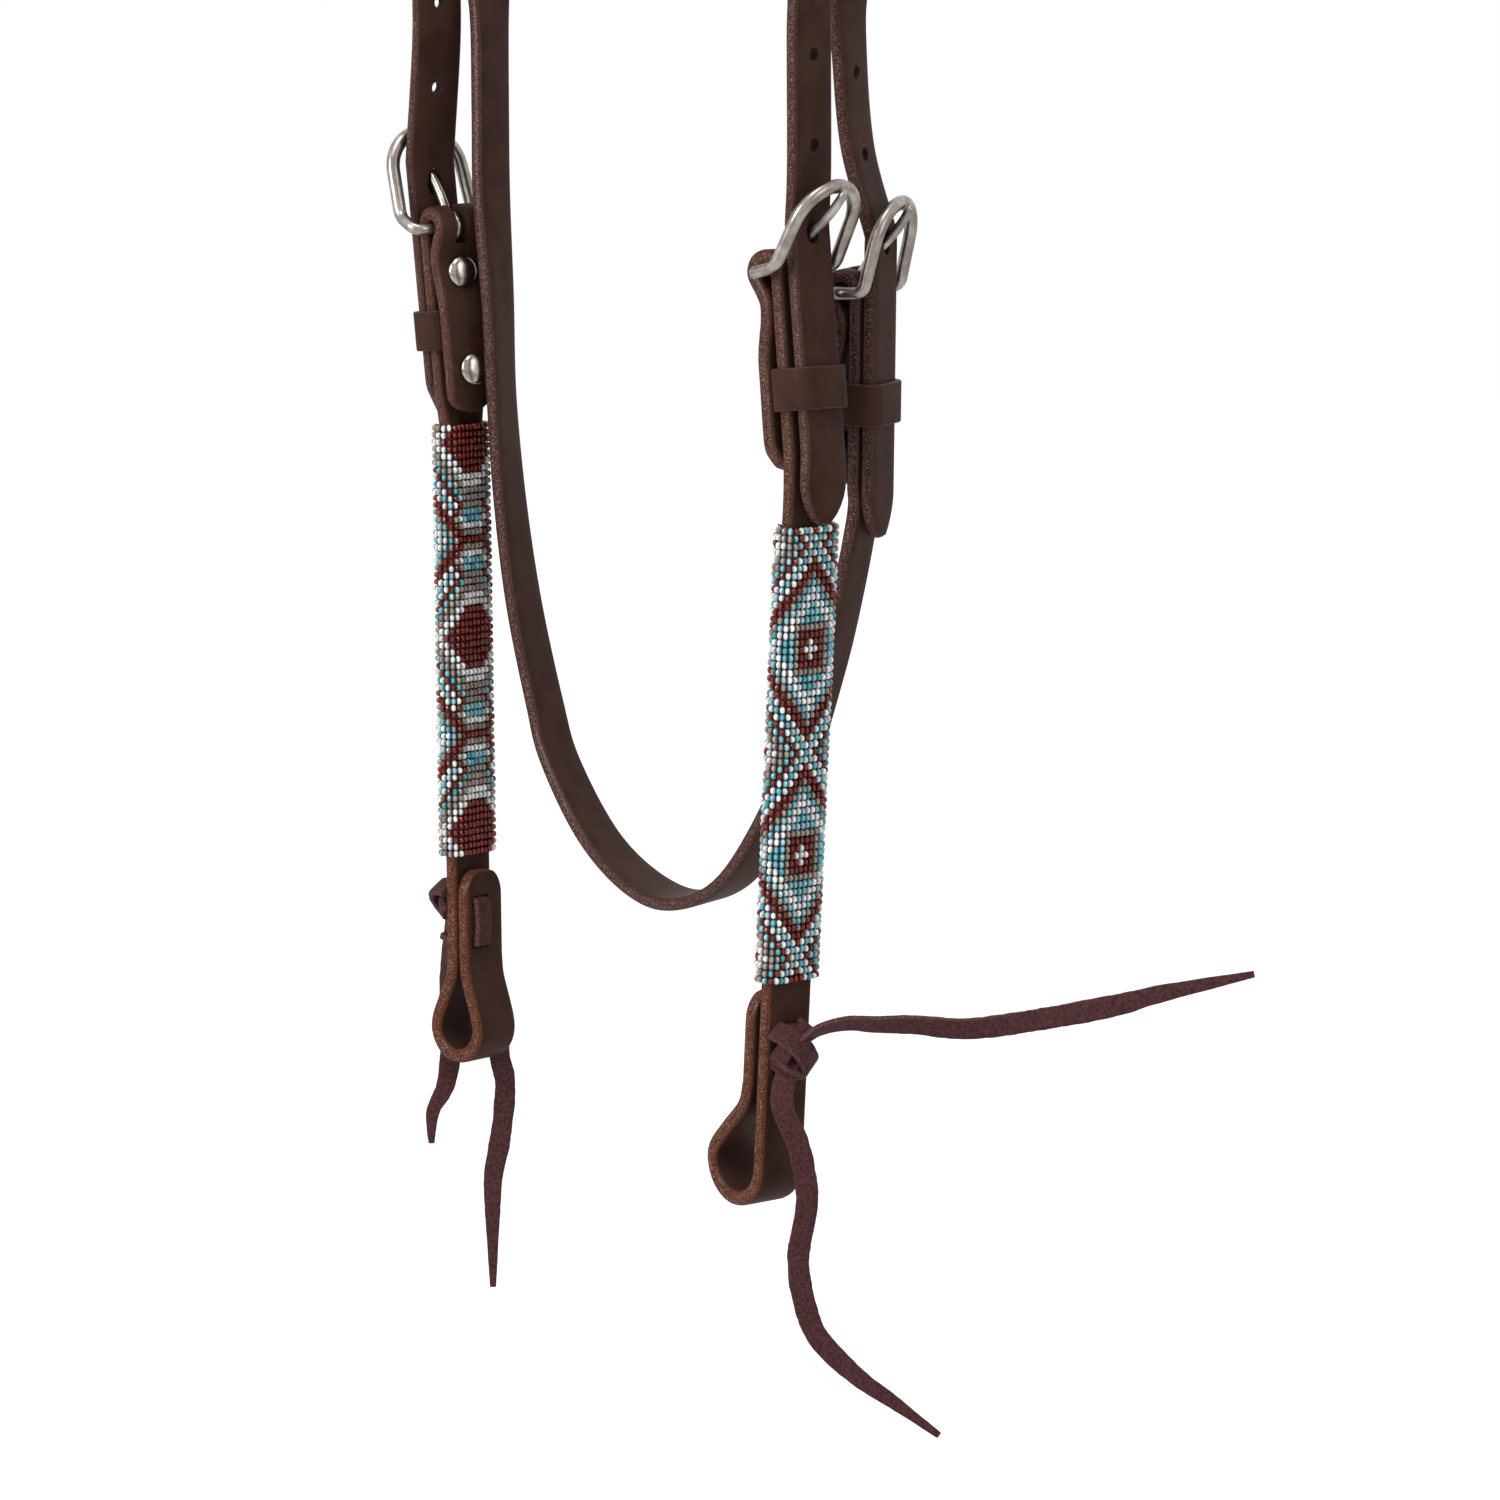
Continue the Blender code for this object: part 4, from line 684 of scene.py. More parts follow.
def tongue_length(hang):
    """Straight length from the bar to the frame's top."""
    out, up, lean = profile_at(hang, hang.heel + hang.arm)
    return math.hypot(out, up)


def tongue_lean(hang):
    """Lean of a tongue that rests on the outside of the frame's top."""
    out, up, lean = profile_at(hang, hang.heel + hang.arm)
    rest = BAR_RADIUS + TONGUE_RADIUS * TONGUE_TIP_SHARE + CLEARANCE
    return math.atan2(out, up) + math.asin(rest / tongue_length(hang))


def billet_hole_drop(hang):
    """Drop below the bar at which the tongue crosses its billet."""
    return -(BAR_TO_STRAP + hang.billet_out) / math.tan(tongue_lean(hang))


NEAR_TOP = ((NEAR_OUT, 0, -SPLIT_DROP, 0), (NEAR_OUT, 0, -0.1781, 14),
            (0.0904, 0, -0.1896, 14), (0.0892, 0.0010, -0.2250, 14))
OFF_TOP = ((-OFF_OUT, 0, -SPLIT_DROP, 0), (-OFF_OUT, 0, -0.1781, 0), (-OFF_OUT, 0, -0.1991, 0))
THROAT_TOP = ((NEAR_OUT, CROWN_PITCH, -SPLIT_DROP, 0), (0.0840, 0.0180, -0.1781, 20),
              (0.0810, 0.0205, -0.1950, 28), (0.0782, 0.0255, -0.2220, 30))


def billet_line(hang, top, tip_drop):
    """Points (x, y, z, roll) of a billet from the crown's split to its tip."""
    lead = -billet_hole_drop(hang) + BILLET_LEAD
    line = smooth_line((*top, (*hang.at(-lead, hang.billet_out), hang.yaw_at(0))), STATION_STEP)
    count = math.ceil((tip_drop + lead) / STATION_STEP)
    for index in range(1, count + 1):
        drop = -lead + (tip_drop + lead) * index / count
        line.append(Vector((*hang.at(drop, hang.billet_out), hang.yaw_at(drop))))
    return line


def billet(hang, top, tip_drop):
    """One billet with its holes, drawn from just inside the crown's split."""
    line = billet_line(hang, top, tip_drop)
    places = [point.xyz for point in line]
    stations = []
    for index, point in enumerate(line):
        tangent = run_of(places, index)
        across = across_of(tangent, point.w)
        from_tip = (point.xyz - places[-1]).length
        breadth = pointed(from_tip / POINT_LENGTH) if from_tip < POINT_LENGTH else 1
        stations.append(station(point.xyz, across, across.cross(tangent), breadth))
    matrix, raw = stations[-1]
    end = matrix @ Matrix.Diagonal((0.6, 0.6, 1, 1))
    stations.append((Matrix.Translation(run_of(places, len(places) - 1) * TIP_ROUND) @ end, raw))
    bm = swept(strap_outline(STRAP_WIDTH, STRAP_THICK), stations, blunt=(False, True))
    holes = bmesh.new()
    punch_line(holes, hang, line)
    return carved(bm, holes)


def arch_stations():
    """Wide part of the crown, from its near split over the poll to its off split."""
    middle = CROWN_PITCH / 2
    places = []
    leg_steps = 20
    arch_steps = 48
    for step in range(leg_steps):
        places.append(Vector((NEAR_OUT, middle, -SPLIT_DROP
                              + (SPLIT_DROP - ARCH_DROP) * step / leg_steps)))
    for step in range(2 * arch_steps + 1):
        angle = math.pi / 2 * step / arch_steps
        out = NEAR_OUT if step < arch_steps else OFF_OUT
        places.append(Vector((out * math.cos(angle), middle, -ARCH_DROP
                              + (ARCH_DROP + STRAP_THICK / 2) * math.sin(angle))))
    for step in range(1, leg_steps + 1):
        places.append(Vector((-OFF_OUT, middle, -ARCH_DROP
                              - (SPLIT_DROP - ARCH_DROP) * step / leg_steps)))
    across = Vector((0, 1, 0))
    return [station(place, across, across.cross(run_of(places, index)))
            for index, place in enumerate(places)]


def crown_leather():
    """Crown: the wide arch, two billets on the near side, and one with its root on the off."""
    near_tip = NEAR_SLEEVE_DROP - BILLET_SHORT
    off_tip = OFF_SLEEVE_DROP - BILLET_SHORT
    root = smooth_line(((-OFF_OUT, CROWN_PITCH, -SPLIT_DROP, 0),
                        (-OFF_OUT, CROWN_PITCH, -JOIN_DROP, 0)), STATION_STEP)
    bm = gathered((
        swept(strap_outline(CROWN_PITCH + STRAP_WIDTH, STRAP_THICK), arch_stations()),
        swept(strap_outline(STRAP_WIDTH, STRAP_THICK), route_stations(root)),
        billet(NEAR_HANG, NEAR_TOP, near_tip), billet(THROAT_HANG, THROAT_TOP, near_tip),
        billet(OFF_HANG, OFF_TOP, off_tip)))
    finished("crown_leather", bm, BRIDLE, "headstall", "crown_strap")


def punch_line(holes, hang, line):
    """A billet's hole in use, cut along its tongue, and the two above it."""
    places = [point.xyz for point in line]
    in_use = hang.at(billet_hole_drop(hang), hang.billet_out)
    reach = STRAP_THICK
    lean = tongue_lean(hang)
    way = hang.frame_at(0).to_3x3() @ Vector((math.sin(lean), 0, math.cos(lean)))
    rod(holes, in_use - way * reach * 1.6, in_use + way * reach * 1.6, TONGUE_RADIUS + TONGUE_ROOM)
    used = min(range(len(places)), key=lambda pick: (places[pick] - in_use).length)
    for pitches in (2, 1):
        walked = 0
        index = used
        while index > 0 and walked < HOLE_PITCH * pitches:
            walked += (places[index - 1] - places[index]).length
            index -= 1
        tangent = run_of(places, index)
        across = across_of(tangent, line[index].w)
        face = across.cross(tangent)
        rod(holes, places[index] - face * reach, places[index] + face * reach, HOLE_RADIUS)


# Folded straps

def fold_path(raw):
    """Tail behind the strap, from its tip up and round the bar to the front."""
    keeper_top = KEEPER_DROP - KEEPER_HEIGHT / 2 - KEEPER_ROOM / 2
    knots = [(TAIL_LENGTH, FOLD_OUT - TAIL_TIP_GAP),
             (TAIL_LENGTH - ROUND_LENGTH / 2, FOLD_OUT - TAIL_TIP_GAP * 2.5),
             (TAIL_LENGTH - ROUND_LENGTH, TAIL_OUT), (KEEPER_DROP, TAIL_OUT),
             (keeper_top, TAIL_OUT + TAIL_TIP_GAP / 4),
             (TAIL_STEP - TAIL_EASE, (FOLD_OUT + TAIL_OUT) / 2),
             (SCREW_DROP, FOLD_OUT - TAIL_TIP_GAP / 2), (TAIL_CLOSE, FOLD_OUT),
             (TAIL_CLOSE * 0.55, -1.45 * BAR_TO_STRAP), (TAIL_CLOSE * 0.2, -1.85 * BAR_TO_STRAP)]
    turns = 8
    for turn in range(turns + 1):
        angle = math.pi * (1 - turn / turns)
        knots.append((-BAR_TO_STRAP * math.sin(angle), BAR_TO_STRAP * (math.cos(angle) - 1)))
    line = smooth_line([(drop, out, 0) for drop, out in knots], STATION_STEP * 0.6)
    path = [(point.x, point.y, 1, raw) for point in line]
    return tapered(path, False, ROUND_LENGTH, rounded)


def straight_path(start, end, out, raw_of, step=STATION_STEP):
    """Straight stretch of a path from one drop to another."""
    count = math.ceil(abs(end - start) / step)
    return [(start + (end - start) * share / count, out, 1,
             raw_of(start + (end - start) * share / count)) for share in range(1, count + 1)]


def loop_path(opening, back, width, height, share, raw):
    """Bit loop below the laced layers; a share of its bulge is on the inner side."""
    bulge = width + CHEEK_THICK + back
    radius = (width + CHEEK_THICK) / 2
    middle = back / 2 + bulge * (1 - 2 * share) / 2
    foot = opening + height - width / 2
    turns = 10
    knots = [(opening + (foot - opening) * down, bulge * (1 - share) * out)
             for down, out in BIT_LOOP_FLARE_SHARES]
    knots += [(foot + radius * math.sin(math.pi * turn / turns),
               middle + radius * math.cos(math.pi * turn / turns)) for turn in range(turns + 1)]
    knots += [(opening + (foot - opening) * down, back - bulge * share * out)
              for down, out in reversed(BIT_LOOP_FLARE_SHARES)]
    line = smooth_line([(drop, out, 0) for drop, out in knots], STATION_STEP * 0.8)
    return [(point.x, point.y, 1, raw) for point in line]


def lace_slots(cutters, hang, fold_tip, back, aside):
    """Two slots through a cheek and its fold-back, one above the other."""
    for index in range(2):
        matrix = hang.frame_at(fold_tip + LACE_DROP + LACE_PITCH * index)
        size = Matrix.Diagonal((CHEEK_THICK * 4 - back, LACE_WIDTH + LACE_ROOM,
                                LACE_THICK + LACE_ROOM, 1))
        bmesh.ops.create_cube(cutters, size=1,
                              matrix=matrix @ Matrix.Translation((back / 2, aside, 0)) @ size)


def tongue_slot(cutters, hang):
    """Slot through the fold for the tongue's eye."""
    half = TONGUE_RADIUS + CLEARANCE * 2
    eye = BAR_RADIUS + 2 * TONGUE_RADIUS + 2 * CLEARANCE
    low = -2 * BAR_TO_STRAP - CHEEK_THICK * 1.5
    high = CHEEK_THICK * 1.5
    size = Matrix.Diagonal((high - low, 2 * half, eye + BAR_TO_STRAP + CHEEK_THICK * 1.5, 1))
    middle = Matrix.Translation(((low + high) / 2, 0, (BAR_TO_STRAP + CHEEK_THICK * 1.5 - eye) / 2))
    bmesh.ops.create_cube(cutters, size=1, matrix=hang.frame_at(0) @ middle @ size)


def screw_seat(cutters, matrix, inner, face, past):
    """Barrel's hole from inside to past the face, and the flange's seat in the face."""
    end = matrix @ Vector((past, 0, 0))
    rod(cutters, matrix @ Vector((inner, 0, 0)), end, SCREW_BARREL_RADIUS + CLEARANCE)
    rod(cutters, matrix @ Vector((face - SCREW_FLANGE - CLEARANCE, 0, 0)), end,
        SCREW_HEAD_RADIUS + CLEARANCE, 32)


def screw_seats(cutters, hang):
    """Seats of both screws of a fold."""
    for index in range(2):
        drop = SCREW_DROP + SCREW_PITCH * index
        screw_seat(cutters, hang.frame_at(drop), tail_middle(drop) - CHEEK_THICK,
                   CHEEK_THICK / 2, CHEEK_THICK)


def tail_middle(drop):
    """How far out the middle of the tail is at a screw."""
    return FOLD_OUT if drop <= TAIL_STEP else TAIL_OUT


def cheek_leather(name, hang, sleeve_drop, fold_gap, loop, aside):
    """Cheek strap: folded over the bar, through the beads, and folded back as the bit loop."""
    fold_tip = sleeve_drop + SLEEVE_LENGTH + CHEEK_REACH
    opening = fold_tip + FOLD_LENGTH
    back = -(CHEEK_THICK + fold_gap)

    def rawness(drop):
        return min(max((drop - sleeve_drop) / SLEEVE_LENGTH, 0.35), 1)
    path = fold_path(0.35)
    path += straight_path(0, opening, 0, rawness)
    path += loop_path(opening, back, *loop, 1)[1:]
    path += straight_path(opening, fold_tip + ROUND_LENGTH, back, lambda drop: 1)
    path += straight_path(fold_tip + ROUND_LENGTH, fold_tip, back, lambda drop: 1, TIP_STEP)
    path = tapered(path, True, ROUND_LENGTH, rounded)
    bm = swept(strap_outline(STRAP_WIDTH, CHEEK_THICK), hang.stations(path), blunt=(True, True))
    cutters = bmesh.new()
    lace_slots(cutters, hang, fold_tip, back, aside)
    bm = carved(seated(bm, hang), cutters)
    finished(f"{name}_cheek_leather", bm, BRIDLE, "headstall", f"{name}_cheek_strap")


def seated(bm, hang):
    """Carve the tongue's slot and the screws' seats out of a folded strap."""
    for cutter in (tongue_slot, screw_seats):
        cutters = bmesh.new()
        cutter(cutters, hang)
        bm = carved(bm, cutters)
    return bm


THROAT_DRAPE = (
    (-0.0932, 0.0138, -0.1901, 20), (-0.0889, 0.0113, -0.2199, 23), (-0.0867, 0.0101, -0.2451, 23),
    (-0.0837, 0.0101, -0.2751, 30), (-0.0827, 0.0107, -0.3049, 34), (-0.0812, 0.0124, -0.3350, 30),
    (-0.0765, 0.0141, -0.3659, 25), (-0.0698, 0.0170, -0.3959, 22), (-0.0625, 0.0178, -0.4130, 18),
    (-0.0425, 0.0185, -0.4336, 11), (-0.0190, 0.0195, -0.4449, 0), (0.0025, 0.0205, -0.4460, -6),
    (0.0260, 0.0220, -0.4350, -10), (0.0480, 0.0240, -0.4061, -16), (0.0635, 0.0255, -0.3740, -24),
    (0.0720, 0.0265, -0.3500, -28),
)


def throatlatch_leather():
    """Throatlatch: from the crown's off leg under the throat to its near-side buckle."""
    top = -JOIN_DROP - CLEARANCE
    hang = THROAT_HANG
    points = [(-OFF_OUT, CROWN_PITCH, top, 0), (-OFF_OUT, CROWN_PITCH, top - JOIN_RUN, 0)]
    points += THROAT_DRAPE
    for drop in (TAIL_LENGTH + ROUND_LENGTH, TAIL_LENGTH):
        points.append((*hang.at(drop), -hang.yaw_at(drop)))
    stations = route_stations(smooth_line(points, STATION_STEP))
    path = straight_path(TAIL_LENGTH, 0, 0, lambda drop: 0) + list(reversed(fold_path(0)))[1:]
    stations += [mend_side(stations[-1][0], item) for item in hang.stations(path)]
    bm = swept(strap_outline(STRAP_WIDTH, STRAP_THICK), stations, blunt=(False, True))
    finished("throatlatch_leather", seated(bm, hang), BRIDLE, "headstall", "throatlatch_strap")


def mend_side(reference, item):
    """Turn a station half round where its across axis points the other way."""
    matrix, raw = item
    if matrix.col[0].xyz.dot(reference.col[0].xyz) < 0:
        matrix = matrix @ Matrix.Diagonal((-1, -1, 1, 1))
    return matrix, raw


# Buckles, keepers and screws

def frame_outline(heel, arm):
    """Closed middle line of the wire frame laid flat: bar on the first axis, top up the second."""
    corner_centre = FRAME_BAR_HALF - FRAME_CORNER
    top = heel + arm - FRAME_TOP_RADIUS
    lean = math.atan2(corner_centre, top - FRAME_CORNER)
    span = math.hypot(corner_centre, top - FRAME_CORNER)
    side = lean - math.asin((FRAME_TOP_RADIUS - FRAME_CORNER) / span)
    arcs = ((corner_centre, FRAME_CORNER, FRAME_CORNER, -math.pi / 2, side, 8),
            (0, top, FRAME_TOP_RADIUS, side, math.pi - side, 28),
            (-corner_centre, FRAME_CORNER, FRAME_CORNER, math.pi - side, 3 * math.pi / 2, 8))
    points = []
    for x, y, radius, start, end, count in arcs:
        arc = []
        for index in range(count + 1):
            angle = start + (end - start) * index / count
            arc.append((x + radius * math.cos(angle), y + radius * math.sin(angle)))
        if points:
            points += arm_points(points[-1], arc[0], heel)
        points += arc
    return points


def arm_points(start, end, heel):
    """Points where an arm bends at its elbow."""
    steps = [heel + FRAME_ELBOW * turn / 3 for turn in (-4, -3, -2, -1, 0, 1, 2, 3, 4)]
    if start[1] > end[1]:
        steps.reverse()
    points = []
    for y in steps:
        share = (y - start[1]) / (end[1] - start[1])
        if 0 < share < 1:
            points.append((start[0] + (end[0] - start[0]) * share, y))
    return points


def buckle_frame(name, hang):
    """Wire frame of a buckle, bent from one rod."""
    across, out_axis, up_axis = hang.across_at(0), hang.out_at(0), -hang.down_at(0)
    places, squares, heights = [], [], []
    for x, y in frame_outline(hang.heel, hang.arm):
        heights.append(y)
        out, up, lean = profile_at(hang, y)
        places.append(hang.bar + across * x + out_axis * out + up_axis * up)
        squares.append(out_axis * math.cos(lean) - up_axis * math.sin(lean))
    stations = []
    for index, place in enumerate(places):
        tangent = (places[(index + 1) % len(places)] - places[index - 1]).normalized()
        outside = tangent.cross(squares[index]).normalized()
        share = min(max((heights[index] - hang.heel / 2) / hang.heel, 0), 1)
        size = 1 + (ARM_SWELL - 1) * share
        stations.append(station(place, outside, outside.cross(tangent), size))
    bm = swept(round_outline(BAR_RADIUS), stations, closed=True)
    finished(f"{name}_buckle_wire", bm, STEEL, f"{name}_frame", f"{name}_buckle_frame")


def bar_matrix(hang, lean):
    """Axes across the bar, up a leaning tongue and square to it, at the bar's middle."""
    out, up = hang.out_at(0), -hang.down_at(0)
    rise = up * math.cos(lean) + out * math.sin(lean)
    square = out * math.cos(lean) - up * math.sin(lean)
    axes = Matrix((hang.across_at(0), rise, square)).transposed()
    return Matrix.Translation(hang.bar) @ axes.to_4x4()


def buckle_tongue(name, hang):
    """Tongue: an eye round the bar and a tapering rod with a slight double bend."""
    matrix = bar_matrix(hang, tongue_lean(hang))
    axes = matrix.to_3x3()
    eye = BAR_RADIUS + CLEARANCE + TONGUE_RADIUS
    length = tongue_length(hang) + TONGUE_RADIUS
    bm = bmesh.new()
    turns = 28
    sideways = (axes @ Vector((1, 0, 0))).normalized()
    square = (axes @ UP).normalized()
    stations = []
    for turn in range(turns):
        angle = 2 * math.pi * turn / turns
        out = (axes @ Vector((0, math.cos(angle), math.sin(angle)))).normalized()
        stations.append(station(matrix @ Vector((0, eye * math.cos(angle), eye * math.sin(angle))),
                                out, sideways))
    sweep(bm, round_outline(TONGUE_RADIUS), stations, closed=True)
    count = 40
    stations = []
    for index in range(count + 1):
        share = index / count
        along = eye - TONGUE_RADIUS / 2 + (length - eye + TONGUE_RADIUS / 2) * share
        size = TONGUE_SWELL + (TONGUE_TIP_SWELL - TONGUE_SWELL) * share ** 2
        if share > TONGUE_ROUND_SHARE:
            rounding = (share - TONGUE_ROUND_SHARE) / TONGUE_ROUND_RUN_SHARE
            size *= math.sqrt(max(1 - rounding ** 2, 0.02))
        lift = -TONGUE_WAVE * math.sin(2 * math.pi * share)
        stations.append(station(matrix @ Vector((0, along, lift)), sideways, square, size, size))
    sweep(bm, round_outline(TONGUE_RADIUS), stations)
    bmesh.ops.recalc_face_normals(bm, faces=bm.faces)
    finished(f"{name}_tongue_wire", bm, STEEL, f"{name}_tongue", f"{name}_buckle_tongue")


def keeper(name, hang, lower):
    """Loose leather loop round the strap and the billet."""
    half = KEEPER_THICK / 2
    low = (-CHEEK_THICK / 2 - CLEARANCE - half, -STRAP_WIDTH / 2 - CLEARANCE - half)
    high = (hang.billet_out + STRAP_THICK / 2 + CLEARANCE + half,
            STRAP_WIDTH / 2 + CLEARANCE + half)
    corner = KEEPER_CORNER
    matrix = hang.frame_at(KEEPER_DROP + lower)
    centres = ((high[0] - corner, high[1] - corner, 0), (low[0] + corner, high[1] - corner, 1),
               (low[0] + corner, low[1] + corner, 2), (high[0] - corner, low[1] + corner, 3))
    axes = matrix.to_3x3()
    stations = []
    steps = 6
    for x, y, quarter in centres:
        for step in range(steps + 1):
            angle = math.pi / 2 * (quarter + step / steps)
            out = axes @ Vector((math.cos(angle), math.sin(angle), 0))
            place = matrix @ Vector((x + corner * math.cos(angle), y + corner * math.sin(angle), 0))
            stations.append(station(place, axes @ UP, out))
    bm = swept(strap_outline(KEEPER_HEIGHT, KEEPER_THICK), stations, closed=True)
    finished(f"{name}_keeper_loop", bm, BRIDLE, f"{name}_keeper_loop", f"{name}_keeper")


def turned(bm, matrix, profile):
    """Turn (along, radius) points about the matrix's first axis."""
    verts = [bm.verts.new((along, radius, 0)) for along, radius in profile]
    edges = [bm.edges.new(pair) for pair in zip(verts, verts[1:])]
    bmesh.ops.spin(bm, geom=verts + edges, cent=(0, 0, 0), axis=(1, 0, 0), dvec=(0, 0, 0),
                   angle=2 * math.pi, steps=SCREW_STEPS, use_merge=True, use_duplicate=False)
    bmesh.ops.remove_doubles(bm, verts=bm.verts, dist=1e-6)
    bmesh.ops.transform(bm, matrix=matrix, verts=bm.verts)
    bmesh.ops.recalc_face_normals(bm, faces=bm.faces)


def screw(name, matrix, inner, outer, body):
    """Two-part leather screw: a barrel with a let-in flange, and a domed cap."""
    barrel_end = inner + SCREW_RIM
    bm = bmesh.new()
    turned(bm, matrix, ((outer, 0), (outer, SCREW_HEAD_RADIUS - SCREW_SOFT),
                        (outer - SCREW_SOFT, SCREW_HEAD_RADIUS),
                        (outer - SCREW_FLANGE, SCREW_HEAD_RADIUS),
                        (outer - SCREW_FLANGE, SCREW_BARREL_RADIUS),
                        (barrel_end, SCREW_BARREL_RADIUS), (barrel_end, 0)))
    finished(f"{name}_post_metal", bm, NICKEL, body, f"{name}_post")
    seat = inner - CLEARANCE
    profile = [(seat, 0), (seat, SCREW_HEAD_RADIUS), (seat - SCREW_RIM, SCREW_HEAD_RADIUS)]
    steps = 10
    for step in range(1, steps + 1):
        angle = math.pi / 2 * step / steps
        profile.append((seat - SCREW_RIM - SCREW_DOME * math.sin(angle) ** 0.9,
                        SCREW_HEAD_RADIUS * math.cos(angle) ** 0.75 if step < steps else 0))
    bm = bmesh.new()
    turned(bm, matrix, profile)
    finished(f"{name}_cap_metal", bm, NICKEL, body, f"{name}_cap")


def buckle_set(name, hang, keeper_lower):
    """Buckle frame, tongue, keeper and screws of one folded strap."""
    buckle_frame(name, hang)
    buckle_tongue(name, hang)
    keeper(name, hang, keeper_lower)
    for label, index in (("upper", 0), ("lower", 1)):
        drop = SCREW_DROP + SCREW_PITCH * index
        screw(f"{name}_{label}_screw", hang.frame_at(drop),
              tail_middle(drop) - CHEEK_THICK / 2, CHEEK_THICK / 2, "headstall")


# Beadwork

BRICK = display(112, 24, 4)
TURQUOISE = display(58, 162, 178)
WHITE = display(232, 233, 232)
TAUPE = display(150, 138, 128)
# Bands of the zigzag round the diamonds, each up to its distance from the inner side
ZIGZAG = ((8, WHITE), (10, TAUPE), (11, TURQUOISE), (12, BRICK), (13, WHITE), (14, TURQUOISE),
          (15, WHITE), (17, BRICK), (18, TAUPE), (19, TURQUOISE), (21, WHITE), (99, TURQUOISE))


def bead_colour(row, column):
    """Diamonds and boxes that repeat every 28 rows, from the outer face's middle column."""
    aside = abs(column)
    inner = BEADS_ROUND // 2 - aside
    from_box = abs((row - 16 + 14) % 28 - 14)
    between = 14 - from_box
    if aside <= 3 and from_box <= 3:
        if aside == 3 or from_box == 3:
            return TAUPE
        return WHITE if aside + from_box <= 1 else BRICK
    if inner <= 2 and between >= 9:
        return {9: TAUPE, 10: TURQUOISE, 11: TURQUOISE, 12: WHITE, 13: TAUPE, 14: BRICK}[between]
    if inner == 3 and 10 <= between <= 12:
        return WHITE if between == 11 else TAUPE
    if inner == 4 and 10 <= between <= 11:
        return BRICK if between == 10 else TAUPE
    reach = inner + between
    if reach <= 6 and between <= 4:
        return BRICK
    if reach <= 8 and between in (5, 6):
        return WHITE
    if reach <= 10 and between in (7, 8, 9):
        return TAUPE
    for limit, colour in ZIGZAG:
        if reach <= limit:
            return colour
    return TURQUOISE


def stadium_point(width, thick, share):
    """Point and outward direction at a share of the way round, from the outer face's middle."""
    radius = thick / 2
    flat = width / 2 - radius
    total = 4 * flat + 2 * math.pi * radius
    walked = share % 1 * total
    for side in (1, -1):
        for part, length in (("first", flat), ("end", math.pi * radius), ("last", flat)):
            if walked <= length or (side == -1 and part == "last"):
                if part == "end":
                    angle = walked / radius
                    out = side * math.cos(angle)
                    across = side * math.sin(angle)
                    return radius * out, side * flat + radius * across, out, across
                if part == "last":
                    return -side * radius, side * (flat - walked), -side, 0
                return side * radius, side * walked, side, 0
            walked -= length


def beads(name, section_of, rows, seed, body, node):
    """Rows of seed beads round a sleeve; section_of gives a row's centre, out and across axes."""
    chance = random.Random(seed)
    ring = bmesh.new()
    bmesh.ops.create_uvsphere(ring, u_segments=8, v_segments=5, radius=1)
    bead, ring_mesh = bpy.data.meshes.new("bead"), bpy.data.meshes.new("ring")
    ring.to_mesh(bead)
    ring.clear()
    bm = bmesh.new()
    bm.verts.layers.float_color.new("glass")
    for row in range(rows):
        glass = ring.verts.layers.float_color.new("glass")
        centre, out_axis, across_axis = section_of(row + 0.5)
        along = out_axis.cross(across_axis)
        for column in range(-BEADS_ROUND // 2 + 1, BEADS_ROUND // 2 + 1):
            out, across, n_out, n_across = stadium_point(
                SLEEVE_WIDTH - 2 * BEAD_RADIUS, SLEEVE_THICK - 2 * BEAD_RADIUS,
                column / BEADS_ROUND)
            normal = (out_axis * n_out + across_axis * n_across).normalized()
            axle = normal.cross(along).normalized()
            size = chance.uniform(0.93, 1.05)
            stray = [chance.uniform(-1, 1) for part in range(4)]
            place = (centre + out_axis * out + across_axis * across
                     + normal * stray[0] * 0.8 * BEAD_STRAY + along * stray[1] * BEAD_STRAY)
            axle = (axle + (along * stray[2] + normal * stray[3]) * BEAD_TILT).normalized()
            rise = (normal - axle * normal.dot(axle)).normalized()
            axes = Matrix((rise * BEAD_RADIUS * size, axle.cross(rise) * BEAD_RADIUS * size,
                           axle * BEAD_HALF_LENGTH * chance.uniform(0.9, 1.04)))
            matrix = Matrix.Translation(place) @ axes.transposed().to_4x4()
            base = bead_colour(row, column)
            milk = chance.uniform(0, 0.30) if base is TURQUOISE else 0
            tint = chance.uniform(0.78, 1.10)
            colour = [min((value + (1 - value) * milk) * tint * chance.uniform(0.93, 1.07), 1)
                      for value in base[:3]] + [1]
            ring.from_mesh(bead)
            ring.verts.ensure_lookup_table()
            for vert in ring.verts[-len(bead.vertices):]:
                # Painted shade: each bead darkens towards its ends, where it meets the next bead.
                shade = 1 - BEAD_END_PAINTED_SHADE * abs(vert.co.z) ** 4
                vert[glass] = [value * shade for value in colour[:3]] + [1]
                vert.co = matrix @ vert.co
        ring.to_mesh(ring_mesh)
        bm.from_mesh(ring_mesh)
        ring.clear()
    ring.free()
    finished(name, bm, SEED_GLASS, body, node)
    outline = []
    for step in range(48):
        out, across, n_out, n_across = stadium_point(
            SLEEVE_WIDTH - 3 * BEAD_RADIUS, SLEEVE_THICK - 3 * BEAD_RADIUS, step / 48)
        outline.append((across, out, 0))
    stations = []
    for row in (0.4, *range(2, rows - 1, 3), rows - 0.4):
        centre, out, across = section_of(row)
        stations.append(station(centre, across, out))
    bm = swept(outline, stations, caps=False)
    core = finished(f"{name}_thread", bm, BEAD_THREAD, body)
    wall = core.modifiers.new("wall", "SOLIDIFY")
    wall.thickness = CORE_THICK
    wall.offset = -1


